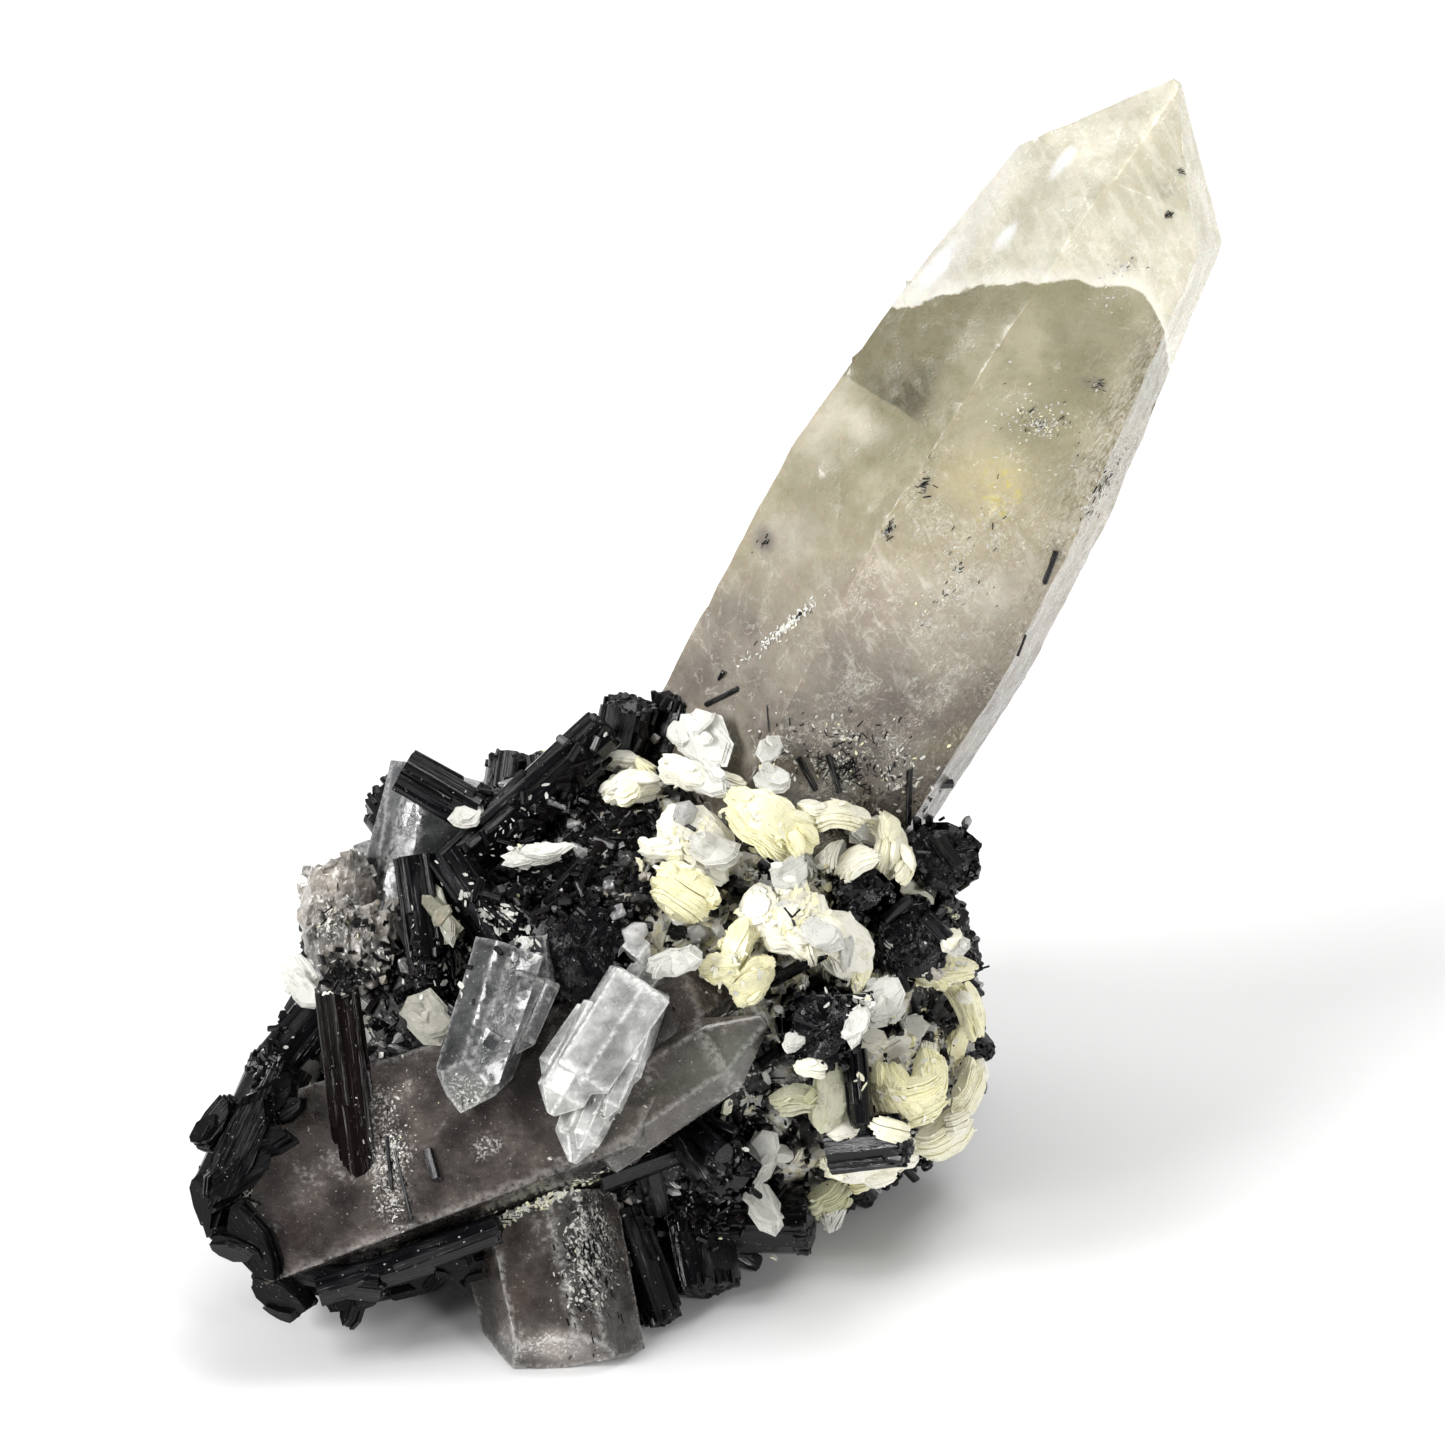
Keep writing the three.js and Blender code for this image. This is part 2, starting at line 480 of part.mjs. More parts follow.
// The matrix: a lumpy rock whose outline follows the cluster, deeper at the back than in front.
function rockBody() {
  const random = seededRandom(41);
  const rock = mergeVertices(new THREE.IcosahedronGeometry(1, 5).deleteAttribute("normal").deleteAttribute("uv"), 1e-4);
  const position = rock.attributes.position;
  const point = new THREE.Vector3();
  for (let i = 0; i < position.count; i++) {
    point.fromBufferAttribute(position, i);
    const angle = (THREE.MathUtils.radToDeg(Math.atan2(point.y, point.x)) + 360) % 360;
    const reach = rockReach(angle);
    const depth = point.z > 0 ? rockFrontDepth : rockBackDepth;
    const lump = 0.95 + 0.1 * random();
    position.setXYZ(i, point.x * reach * lump, point.y * reach * lump, point.z * depth * lump);
  }
  rock.translate(rockCentre.x, rockCentre.y, rockCentre.z);
  return solidFrom(rock);
}

// Cuts off everything below the surface that the specimen stands on.
const floorNormal = [0, -Math.cos(radians(faceLean)), -Math.sin(radians(faceLean))];

function standOnFloor(solid) {
  return cutAcross(solid, floorNormal, 0);
}

function largestBody(solid) {
  return solid.decompose().reduce((most, body) => (body.volume() > most.volume() ? body : most));
}

function joined(solids) {
  return solids.reduce((all, solid) => all.add(solid));
}

const specimen = new THREE.Group();
const face = new THREE.Group();
face.rotation.x = radians(90 - faceLean);
specimen.add(face);
let taken = longPoint(seam);

// Adds a node. Later minerals give way to earlier ones, which keep their whole shape.
function addNode(name, look, solid, grown) {
  const mesh = new THREE.Mesh(geometryFrom(solid), new THREE.MeshStandardMaterial(colours[look]));
  mesh.name = name;
  face.add(mesh);
  if (grown) taken = taken.add(grown);
}

function addGivingWay(name, look, make, grownMake) {
  const solid = largestBody(standOnFloor(make).subtract(taken).simplify(tidyTolerance));
  addNode(name, look, solid, grownMake);
}

addNode("smoky_quartz_point", "smokyPoint", longPoint());
for (const [name, { look, broken, crystals }] of Object.entries(quartzNodes)) {
  const make = broken ? brokenQuartz : quartzCrystal;
  addGivingWay(name, look, joined(crystals.map((c) => make(c))), joined(crystals.map((c) => make(c, seam))));
}
for (const [name, { look, books }] of Object.entries(micaNodes)) {
  addGivingWay(name, look, joined(books.map(micaBook)), joined(books.map(micaRoom)));
}
for (const [name, prisms] of Object.entries(schorlNodes)) {
  addGivingWay(name, "schorl", joined(prisms.map((p) => schorlPrism(p))), joined(prisms.map((p) => schorlPrism(p, seam))));
}
addGivingWay("matrix", "matrix", rockBody());

// The origin is under the middle of the whole specimen, on the surface that it stands on.
specimen.updateMatrixWorld(true);
const bounds = new THREE.Box3().setFromObject(specimen, true);
const middle = bounds.getCenter(new THREE.Vector3());
face.position.set(-middle.x, -middle.y, -bounds.min.z);

export default specimen;
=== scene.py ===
import math
import random

import bpy
import numpy as np
from mathutils import Matrix, Quaternion, Vector, noise
from mathutils.bvhtree import BVHTree
from mathutils.kdtree import KDTree


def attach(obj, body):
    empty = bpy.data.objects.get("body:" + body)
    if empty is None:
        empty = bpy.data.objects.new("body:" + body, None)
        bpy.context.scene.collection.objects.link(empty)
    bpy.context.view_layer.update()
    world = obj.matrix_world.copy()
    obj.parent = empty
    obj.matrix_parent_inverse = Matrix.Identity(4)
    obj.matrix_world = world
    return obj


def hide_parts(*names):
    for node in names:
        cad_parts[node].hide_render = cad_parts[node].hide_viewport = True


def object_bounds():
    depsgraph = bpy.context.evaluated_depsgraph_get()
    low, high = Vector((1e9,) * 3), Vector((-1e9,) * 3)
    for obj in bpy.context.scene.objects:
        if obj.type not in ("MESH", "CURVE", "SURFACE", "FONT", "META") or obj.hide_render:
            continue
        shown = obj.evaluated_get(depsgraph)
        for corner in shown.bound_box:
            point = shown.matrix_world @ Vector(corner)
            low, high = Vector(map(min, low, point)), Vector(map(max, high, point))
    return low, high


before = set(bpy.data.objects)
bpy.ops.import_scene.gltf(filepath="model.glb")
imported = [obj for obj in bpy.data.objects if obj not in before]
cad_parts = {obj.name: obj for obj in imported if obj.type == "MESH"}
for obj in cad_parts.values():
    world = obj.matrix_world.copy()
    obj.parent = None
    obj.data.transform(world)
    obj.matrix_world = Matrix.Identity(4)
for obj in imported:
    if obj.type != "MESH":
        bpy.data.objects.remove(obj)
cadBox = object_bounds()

# Everything is laid out on the specimen's face, in millimetres: x to the right, y up the face and
# z out of it. The face leans back, and faceMatrix takes it to the row frame in metres.
faceLean = 60
faceOffset = Vector((-8.670, -30.982, 0.0))
faceMatrix = (
    Matrix.Scale(0.001, 4) @ Matrix.Translation(faceOffset) @ Matrix.Rotation(math.radians(faceLean), 4, "X")
)
faceInverse = faceMatrix.inverted()
boxLow, boxHigh = (np.array(corner) for corner in cadBox)


def toRow(points):
    turned = points @ np.array(faceMatrix.to_3x3()).T + np.array(faceMatrix.translation)
    return np.clip(turned, boxLow, boxHigh)


def selectOnly(piece):
    bpy.ops.object.select_all(action="DESELECT")
    piece.select_set(True)
    bpy.context.view_layer.objects.active = piece


def startEditing(piece):
    selectOnly(piece)
    bpy.ops.object.mode_set(mode="EDIT")
    bpy.ops.mesh.select_all(action="SELECT")


def stopEditing():
    bpy.ops.object.mode_set(mode="OBJECT")


def addCircle(corners):
    bpy.ops.object.select_all(action="DESELECT")
    bpy.ops.mesh.primitive_circle_add(vertices=corners, radius=1, fill_type="NGON")
    return bpy.context.object


def raiseFace(height, x=0, y=0):
    bpy.ops.mesh.extrude_region_move(TRANSFORM_OT_translate={"value": (x, y, height)})


def narrow(share):
    bpy.ops.transform.resize(value=(share, share, 1))


def cutAcross(at, normal, **how):
    bpy.ops.mesh.select_all(action="SELECT")
    bpy.ops.mesh.bisect(plane_co=at, plane_no=normal, **how)


def faceOutwards():
    bpy.ops.mesh.select_all(action="SELECT")
    bpy.ops.mesh.normals_make_consistent(inside=False)


def shaken(draw, spread):
    return [draw.gauss(0, spread) for _ in range(3)]


def unit(value):
    return min(1, max(0, value))


def roundWay(angle):
    return np.array((math.cos(angle), math.sin(angle), 0))


class Shape:
    # The points and faces of one modelled form, kept so that it can be copied many times. A rim is where it is worn;
    # the quartz finishes paint it pale, as wear and as a painted edge highlight.
    def __init__(self, piece):
        mesh = piece.data
        self.points = np.empty(len(mesh.vertices) * 3)
        mesh.vertices.foreach_get("co", self.points)
        self.points = self.points.reshape(-1, 3)
        self.corners = np.empty(len(mesh.loops), int)
        mesh.loops.foreach_get("vertex_index", self.corners)
        self.sizes = np.empty(len(mesh.polygons), int)
        mesh.polygons.foreach_get("loop_total", self.sizes)
        self.rim = np.zeros(len(self.points))
        bpy.data.objects.remove(piece)


def turnTo(along, spin=0):
    axis = Vector(along).normalized()
    turn = Vector((0, 0, 1)).rotation_difference(axis) @ Quaternion((0, 0, 1), math.radians(spin))
    return np.array(turn.to_matrix())


def placed(points, at, along, spin=0):
    return points @ turnTo(along, spin).T + np.array(at)


def copyOf(shape, local, at, along, spin, shift=0, tint=0):
    # The shift sets a copy apart from the others in the pattern of its finish.
    return shape, placed(local, at, along, spin), local + shift, tint


def joinCopies(name, copies, slotName, **wanted):
    # Each copy is (shape, its points on the face, its points before they were placed, its tint).
    shapes, points, grains, tints = zip(*copies)
    starts = np.cumsum([0] + [len(each) for each in points[:-1]])
    corners = np.concatenate([shape.corners + start for shape, start in zip(shapes, starts)])
    sizes = np.concatenate([shape.sizes for shape in shapes])
    rims = np.concatenate([shape.rim for shape in shapes])
    points = np.concatenate(points)
    mesh = bpy.data.meshes.new(name)
    mesh.vertices.add(len(points))
    mesh.vertices.foreach_set("co", toRow(points).ravel())
    mesh.loops.add(len(corners))
    mesh.loops.foreach_set("vertex_index", corners)
    mesh.polygons.add(len(sizes))
    mesh.polygons.foreach_set("loop_start", np.concatenate([[0], np.cumsum(sizes)[:-1]]))
    mesh.update(calc_edges=True)
    grain = mesh.attributes.new("grain", "FLOAT_VECTOR", "POINT")
    grain.data.foreach_set("vector", np.concatenate(grains).ravel())
    piece = bpy.data.objects.new(name, mesh)
    bpy.context.scene.collection.objects.link(piece)
    if rims.any():
        markPoints(piece, "rim", rims)
    markPoints(piece, "tint", np.repeat(np.array(tints, float), [len(shape.points) for shape in shapes]))
    return finishPiece(piece, slotName, **wanted)


def markPoints(piece, name, values):
    mark = piece.data.attributes.new(name, "FLOAT", "POINT")
    mark.data.foreach_set("value", values)


def finishPiece(piece, slotName, smooth, replaced=(), finish=None):
    # Edges of up to so many degrees are shaded smooth. The finish is the slot's own unless another is named.
    selectOnly(piece)
    if smooth:
        bpy.ops.object.shade_smooth_by_angle(angle=math.radians(smooth))
    else:
        bpy.ops.object.shade_flat()
    piece.data.materials.clear()
    piece.data.materials.append(finishes[finish or slotName])
    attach(piece, "root")
    if replaced:
        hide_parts(*replaced)
    return piece


mergeGap, flatAngle = 0.004, 0.6  # millimetres and degrees


def nodeCopy(node, name):
    # A copy of a solid, on the face in millimetres, with its loose triangles merged into flat faces.
    piece = bpy.data.objects.new(name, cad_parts[node].data.copy())
    bpy.context.scene.collection.objects.link(piece)
    piece.data.transform(faceInverse)
    startEditing(piece)
    bpy.ops.mesh.customdata_custom_splitnormals_clear()
    bpy.ops.mesh.remove_doubles(threshold=mergeGap)
    bpy.ops.mesh.dissolve_limited(angle_limit=math.radians(flatAngle))
    stopEditing()
    return piece


def shade(red, green, blue):
    # A finish's colour, given as it looks on a screen from 0 to 255.
    return tuple(((c / 255 + 0.055) / 1.055) ** 2.4 if c > 10 else c / 3295 for c in (red, green, blue))


def applyModifiers(piece):
    selectOnly(piece)
    for modifier in list(piece.modifiers):
        bpy.ops.object.modifier_apply(modifier=modifier.name)


def fractal(point, octaves=3):
    return noise.fractal(point, 1.0, 2.0, octaves)


class Wire:
    # A number on its way through a finish, so that shader sums read as Python.
    def __init__(self, finish, socket):
        self.finish, self.socket = finish, socket

    def sum(self, operation, *values):
        settings = {"operation": operation}
        return self.finish.node("ShaderNodeMath", settings, dict(enumerate(values)))

    def above(self, other):
        return self.sum("MAXIMUM", self, other)

    def below(self, other):
        return self.sum("MINIMUM", self, other)

    def __abs__(self):
        return self.sum("ABSOLUTE", self)

    def __add__(self, other):
        return self.sum("ADD", self, other)

    __radd__ = __add__

    def __sub__(self, other):
        return self.sum("SUBTRACT", self, other)

    def __rsub__(self, other):
        return self.sum("SUBTRACT", other, self)

    def __mul__(self, other):
        return self.sum("MULTIPLY", self, other)

    __rmul__ = __mul__

    def __truediv__(self, other):
        return self.sum("DIVIDE", self, other)

    def __pow__(self, other):
        return self.sum("POWER", self, other)


class Finish:
    def __init__(self, name):
        self.material = bpy.data.materials.new(name)
        self.material.use_nodes = True
        self.tree = self.material.node_tree
        self.tree.nodes.clear()

    def node(self, kind, settings=None, values=None, output=0):
        made = self.tree.nodes.new(kind)
        for key, value in (settings or {}).items():
            if key == "stops":
                ramp = made.color_ramp
                while len(ramp.elements) < len(value):
                    ramp.elements.new(1)
                for element, (position, colour) in zip(ramp.elements, value):
                    element.position, element.color = position, (*colour, 1)
            else:
                setattr(made, key, value)
        for key, value in (values or {}).items():
            if isinstance(value, Wire):
                self.tree.links.new(value.socket, made.inputs[key])
            else:
                made.inputs[key].default_value = value
        return Wire(self, made.outputs[output])

    def place(self):
        # Where a spot is on the face, in millimetres.
        turn = Matrix.Rotation(math.radians(-faceLean), 3, "X")
        values = {
            "Vector": self.node("ShaderNodeTexCoord", output="Object"),
            "Location": -(turn @ faceOffset),
            "Rotation": (math.radians(-faceLean), 0, 0),
            "Scale": (1000, 1000, 1000),
        }
        return self.node("ShaderNodeMapping", values=values)

    def grain(self):
        return self.node("ShaderNodeAttribute", {"attribute_name": "grain"}, output="Vector")

    def mark(self, name):
        # A number kept on the piece's points, such as its tint or how near a worn edge they are.
        return self.node("ShaderNodeAttribute", {"attribute_name": name}, output="Fac")

    def split(self, vector):
        # How far to the right and how far up the face.
        outputs = self.node("ShaderNodeSeparateXYZ", values={0: vector}).socket.node.outputs
        return Wire(self, outputs[0]), Wire(self, outputs[1])

    def stretched(self, vector, scale, turn=0):
        # Longer or shorter along the axes, after a turn in the plane of the face.
        if turn:
            values = {"Vector": vector, "Rotation": (0, 0, math.radians(turn))}
            vector = self.node("ShaderNodeMapping", values=values)
        return self.node("ShaderNodeMapping", values={"Vector": vector, "Scale": scale})

    def noise(self, vector, scale, detail=3, rough=0.5, distortion=0.0):
        values = {"Vector": vector, "Scale": scale, "Detail": detail, "Roughness": rough, "Distortion": distortion}
        return self.node("ShaderNodeTexNoise", values=values)

    def cells(self, vector, scale):
        return self.node("ShaderNodeTexVoronoi", values={"Vector": vector, "Scale": scale}, output="Distance")

    def between(self, value, low, high, fromZero=0.0, toOne=1.0):
        values = {"Value": value, "From Min": low, "From Max": high, "To Min": fromZero, "To Max": toOne}
        return self.node("ShaderNodeMapRange", {"interpolation_type": "SMOOTHSTEP"}, values)

    def ramp(self, value, stops):
        return self.node("ShaderNodeValToRGB", {"stops": stops}, {0: value})

    def mixColours(self, share, first, second, blend="MIX"):
        first, second = (c if isinstance(c, Wire) else (*c, 1) for c in (first, second))
        settings = {"data_type": "RGBA", "blend_type": blend}
        return self.node("ShaderNodeMix", settings, {0: share, 6: first, 7: second}, 2)

    def coats(self, colour, layers):
        # Lays one colour after another over the first: how much of it, and its screen colour.
        for share, tone in layers:
            colour = self.mixColours(share, colour, tone if isinstance(tone, Wire) else shade(*tone))
        return colour

    def patch(self, x, y, waver, at, reach, tilt, soft):
        # A soft edged spot on the face, 1 in its middle.
        c, s = math.cos(math.radians(tilt)), math.sin(math.radians(tilt))
        along = ((x - at[0]) * c + (y - at[1]) * s) / reach[0]
        across = ((y - at[1]) * c - (x - at[0]) * s) / reach[1]
        return self.between((along * along + across * across) ** 0.5 + waver, 1.0, 1.0 - soft)

    def patches(self, x, y, waver, table, mottled=None):
        # The layers that a table of spots makes for coats.
        for at, reach, tilt, tone, strength, soft in table:
            share = self.patch(x, y, waver, at, reach, tilt, soft)
            yield (share * mottled if mottled else share) * strength, tone

    def bump(self, height, strength, distance):
        return self.node("ShaderNodeBump", values={"Height": height, "Strength": strength, "Distance": distance})

    def surface(self, values):
        return self.node("ShaderNodeBsdfPrincipled", values=values)

    def mixSurfaces(self, share, first, second):
        return self.node("ShaderNodeMixShader", values={0: share, 1: first, 2: second})

    def done(self, surface):
        made = self.tree.nodes.new("ShaderNodeOutputMaterial")
        self.tree.links.new(surface.socket, made.inputs["Surface"])
        return self.material


quartzIndex = 1.544  # index of refraction
# The long point: whitish and frosted above a sharp inner zone line, smoky olive below it.
pointLook = {
    "zoneLine": 86.8,
    "heights": [
        (0.0, (72, 64, 58)), (0.12, (122, 111, 102)), (0.32, (162, 151, 137)),
        (0.55, (184, 173, 146)), (0.78, (170, 162, 130)), (1.0, (150, 145, 113)),
    ],
    "tip": (226, 222, 204), "tipShade": (206, 202, 180),
    # left, right, tipLeft and tipRight multiply the colour; right and tipRight are higher, which is painted light on
    # the right face.
    "glass": (0.70, 0.67, 0.54, 1), "left": (0.74, 0.74, 0.73), "right": (1.08, 1.07, 1.05),
    "tipLeft": (0.84, 0.84, 0.83), "tipRight": (1.22, 1.21, 1.18),
}
# Cloudy patches inside it: place on the face, half width and height, tilt, colour, strength, softness.
pointPatches = [
    ((17.8, 75.4), (4.2, 7.5), -34, (226, 218, 196), 0.8, 1.0),
    ((21.2, 75.4), (3.0, 2.2), -32, (232, 224, 202), 0.85, 0.9),
    ((15.2, 66.5), (3.6, 5.0), -34, (200, 191, 176), 0.7, 1.0),
    ((10.6, 60.6), (3.6, 3.6), 0, (140, 130, 122), 0.75, 1.0),
    ((8.6, 55.5), (3.4, 4.0), 0, (128, 117, 108), 0.7, 1.0),
    ((13.2, 66.3), (1.3, 1.5), 0, (118, 111, 106), 0.8, 0.9),
    ((12.2, 59.4), (1.3, 1.6), 0, (112, 98, 88), 0.6, 0.9),
    ((30.5, 84.6), (6.5, 2.4), 0, (140, 134, 104), 0.6, 0.9),
    ((40.0, 82.4), (4.6, 4.2), 0, (148, 143, 116), 0.7, 0.8),
    ((39.6, 78.8), (2.0, 1.0), 0, (120, 115, 96), 0.5, 0.9),
    ((31.5, 71.2), (5.6, 4.0), 0, (206, 194, 148), 0.75, 1.0),
    ((21.8, 61.2), (4.6, 4.0), -20, (176, 160, 147), 0.7, 0.9),
    ((27.0, 60.5), (4.5, 5.5), -25, (190, 180, 164), 0.6, 1.0),
    ((22.2, 52.0), (5.0, 3.5), 0, (138, 124, 112), 0.6, 1.0),
    ((18.5, 48.5), (7.0, 3.0), 10, (98, 84, 75), 0.75, 1.0),
    ((28.8, 50.2), (3.4, 1.6), 15, (160, 150, 126), 0.8, 0.5),
    ((26.8, 45.5), (4.0, 4.0), 0, (92, 84, 78), 0.75, 0.9),
    ((31.8, 62.0), (4.2, 3.4), -25, (224, 217, 204), 0.6, 1.0),
]


def glassMixed(f, share, colour, glass, roughness, clearRoughness, normal, coat):
    # Clear glass and a milky surface, mixed by share.
    milky = f.surface({"Base Color": colour, "Roughness": roughness, "Normal": normal, **coat})
    clear = f.surface({
        "Base Color": glass, "Roughness": clearRoughness, "Normal": normal,
        "Transmission Weight": 1.0, "IOR": quartzIndex,
    })
    return f.done(f.mixSurfaces(share, clear, milky))


def finishPoint():
    f = Finish("smokyPoint")
    place = f.place()
    x, y = f.split(place)
    waver = f.noise(place, 0.35, 4, 0.6) - 0.5
    fine = f.noise(place, 1.2, 5, 0.65)
    clouds = f.noise(place, 0.13, 5, 0.6, 0.4)
    feathers = f.noise(f.stretched(place, (1.6, 0.35, 1.0), -28), 0.55, 5, 0.7, 0.8)
    flecks = f.noise(f.stretched(place, (3.2, 1.1, 1.5), 34), 1.4, 4, 0.7)
    streaky = f.noise(f.stretched(place, (2.2, 0.7, 1.3), 34), 1.3, 6, 0.75, 1.6)
    crackled = abs(f.noise(place, 0.9, 5, 0.75, 1.2) - 0.5)
    patchy = f.between(f.noise(place, 0.3, 4, 0.6, 0.6), 0.46, 0.60)
    dust = f.between(flecks, 0.57, 0.65).above(f.between(f.noise(place, 2.8, 3, 0.7), 0.59, 0.68))
    # The zone line sags to both sides, and more so past the ridge.
    rightSide = (x - 42.8).above(0)
    line = pointLook["zoneLine"] - (x - 36) * (x - 36) * 0.012 - rightSide * rightSide * 0.55 + waver * 2.0
    height = y - line
    above = f.between(height, 0.0, 0.22)
    fringe = f.between(height, 0.05, 0.35) * f.between(height, 2.0, 0.3)
    rightFace = f.between(f.mark("side"), -0.34, -0.06)  # smooth on the left of the ridge, speckled on the right
    colour = f.ramp(f.between(y, 42, 86), [(spot, shade(*tone)) for spot, tone in pointLook["heights"]])
    colour = f.coats(colour, [(f.between(clouds, 0.42, 0.66) * 0.35, (214, 206, 184))])
    colour = f.coats(colour, f.patches(x, y, waver * 0.9, pointPatches))
    # A dark wedge under the zone line at the left, sharp along its lower side.
    wedgeLow = f.between((x - 19.4) * 0.543 + (y - 79.8) * 0.840 + waver * 0.5, -0.1, 0.12)
    wedgeRight = f.between((y - 75.4) * 0.419 - (x - 26.2) * 0.908 + waver, -0.3, 1.6)
    wedge = f.coats(shade(138, 132, 102), [
        (f.patch(x, y, waver, (24.6, 77.4), (5.2, 4.8), 0, 1.0), (90, 85, 64)),
        (f.between(feathers, 0.46, 0.62) * 0.5, (150, 144, 116)),
    ])
    yellow = f.patch(x, y, waver, (32.0, 69.8), (2.6, 3.2), 0, 0.6) * f.between(fine, 0.5, 0.62)
    # Pale healed cracks low down, bright dust over the right face, silvery where it is rough.
    veins = f.between(abs(f.noise(place, 0.22, 4, 0.55, 0.5) - 0.5), 0.012, 0.0)
    cracked = f.between(y, 72, 58) * f.between(fine, 0.35, 0.6)
    dusty = rightFace * f.between(y, 85, 72) * (0.15 + patchy * 0.75)
    feathery = rightFace.above(0.35) * f.between(y, 76, 62) * f.between(y, 50, 58)
    rough = f.between(x * 0.888 - y * 0.46 + waver * 2, -1.0, 2.2)
    silver = f.mixColours(f.between(y, 56, 72), shade(158, 149, 134), shade(220, 215, 201))
    darkDust = f.between(f.noise(place, 2.0, 3, 0.65), 0.62, 0.70)
    colour = f.coats(colour, [
        (wedgeLow * wedgeRight * 0.92, wedge),
        (yellow * 0.75, (216, 200, 92)),
        (veins * cracked * 0.6, (228, 222, 210)),
        (f.between(crackled, 0.035, 0.0) * rightFace * f.between(y, 82, 62) * patchy * 0.7, (236, 232, 218)),
        (f.between(flecks, 0.40, 0.33) * rightFace * f.between(y, 84, 62) * 0.3, (112, 104, 86)),
        (f.between(feathers, 0.52, 0.66) * feathery * 0.55, (232, 226, 212)),
        (rough * f.between(streaky, 0.46, 0.60) * 0.85, silver),
        (rough * f.between(streaky, 0.46, 0.36) * 0.8, (104, 97, 80)),
        (rough * patchy * f.between(feathers, 0.46, 0.6) * 0.7, (122, 113, 96)),
        (dust * dusty.above(rough * 0.4), (238, 234, 222)),
        (darkDust * f.between(y, 60, 42) * 0.8, (58, 50, 46)),
    ])
    pits = f.patch(x, y, waver, (45.2, 94.4), (1.3, 1.6), 0, 0.8) * f.between(fine, 0.4, 0.6)
    tipColour = f.coats(shade(*pointLook["tipShade"]), [
        (f.between(f.noise(place, 0.2, 4), 0.38, 0.66), pointLook["tip"]),
        (f.between(x * 0.888 - y * 0.46, -13.8, -15.6) * 0.6, (236, 234, 228)),
        (f.patch(x, y, waver * 0.5, (37.0, 96.6), (2.3, 0.7), 52, 0.7), (255, 255, 255)),
        (f.patch(x, y, waver * 0.5, (32.4, 90.6), (2.0, 0.75), 52, 0.7), (255, 255, 255)),
        (f.patch(x, y, waver * 0.5, (27, 88.4), (3.5, 1.0), 52, 0.7), (246, 246, 246)),
        (pits * 0.7, (128, 122, 104)),
        (dust * f.between(clouds, 0.35, 0.6) * 0.8, (250, 249, 242)),
        (f.between(crackled, 0.014, 0.0) * 0.4, (176, 170, 150)),
        (fringe * 0.75, (244, 241, 230)),
        (f.between(feathers, 0.48, 0.64) * 0.4, (246, 243, 230)),
        (f.between(feathers, 0.44, 0.34) * 0.35, (188, 183, 160)),
    ])
    # Painted light: the upper right face and the right of the tip are made lighter than the left, where the lamps
    # leave them darker; the rough strip is darker low down.
    sides = f.mixColours(rightFace * f.between(y, 53, 66), pointLook["left"], pointLook["right"])
    sides = f.coats(sides, [(rough * (0.3 + 0.7 * f.between(y, 57, 50)), (196, 190, 178))])
    tipPaintedLight = f.mixColours(rightFace, pointLook["tipLeft"], pointLook["tipRight"])
    colour = f.mixColours(1.0, colour, sides, "MULTIPLY")
    tipColour = f.mixColours(1.0, tipColour, tipPaintedLight, "MULTIPLY")
    # The edges are chipped white in places, most low down.
    worn = f.between(f.noise(f.stretched(place, (1.0, 0.25, 1.0), 34), 0.8, 3, 0.6), 0.48, 0.62)
    chips = f.mark("rim") * worn * f.between(fine, 0.42, 0.6) * f.between(y, 82, 60) * 0.7
    colour = f.coats(colour, [(above, tipColour), (chips, (232, 228, 214))])
    normal = f.bump(fine * 0.6 + f.noise(place, 4.5, 2) * 0.4, 0.3, 0.0002)
    coat = {"Coat Weight": 0.25, "Coat Roughness": 0.1, "Subsurface Weight": 0.15, "Subsurface Scale": 0.002}
    share, roughness = f.between(clouds, 0.3, 0.7, 0.74, 0.92), f.between(fine, 0.3, 0.7, 0.2, 0.42)
    return glassMixed(f, share, colour, pointLook["glass"], roughness, 0.12, normal, coat)


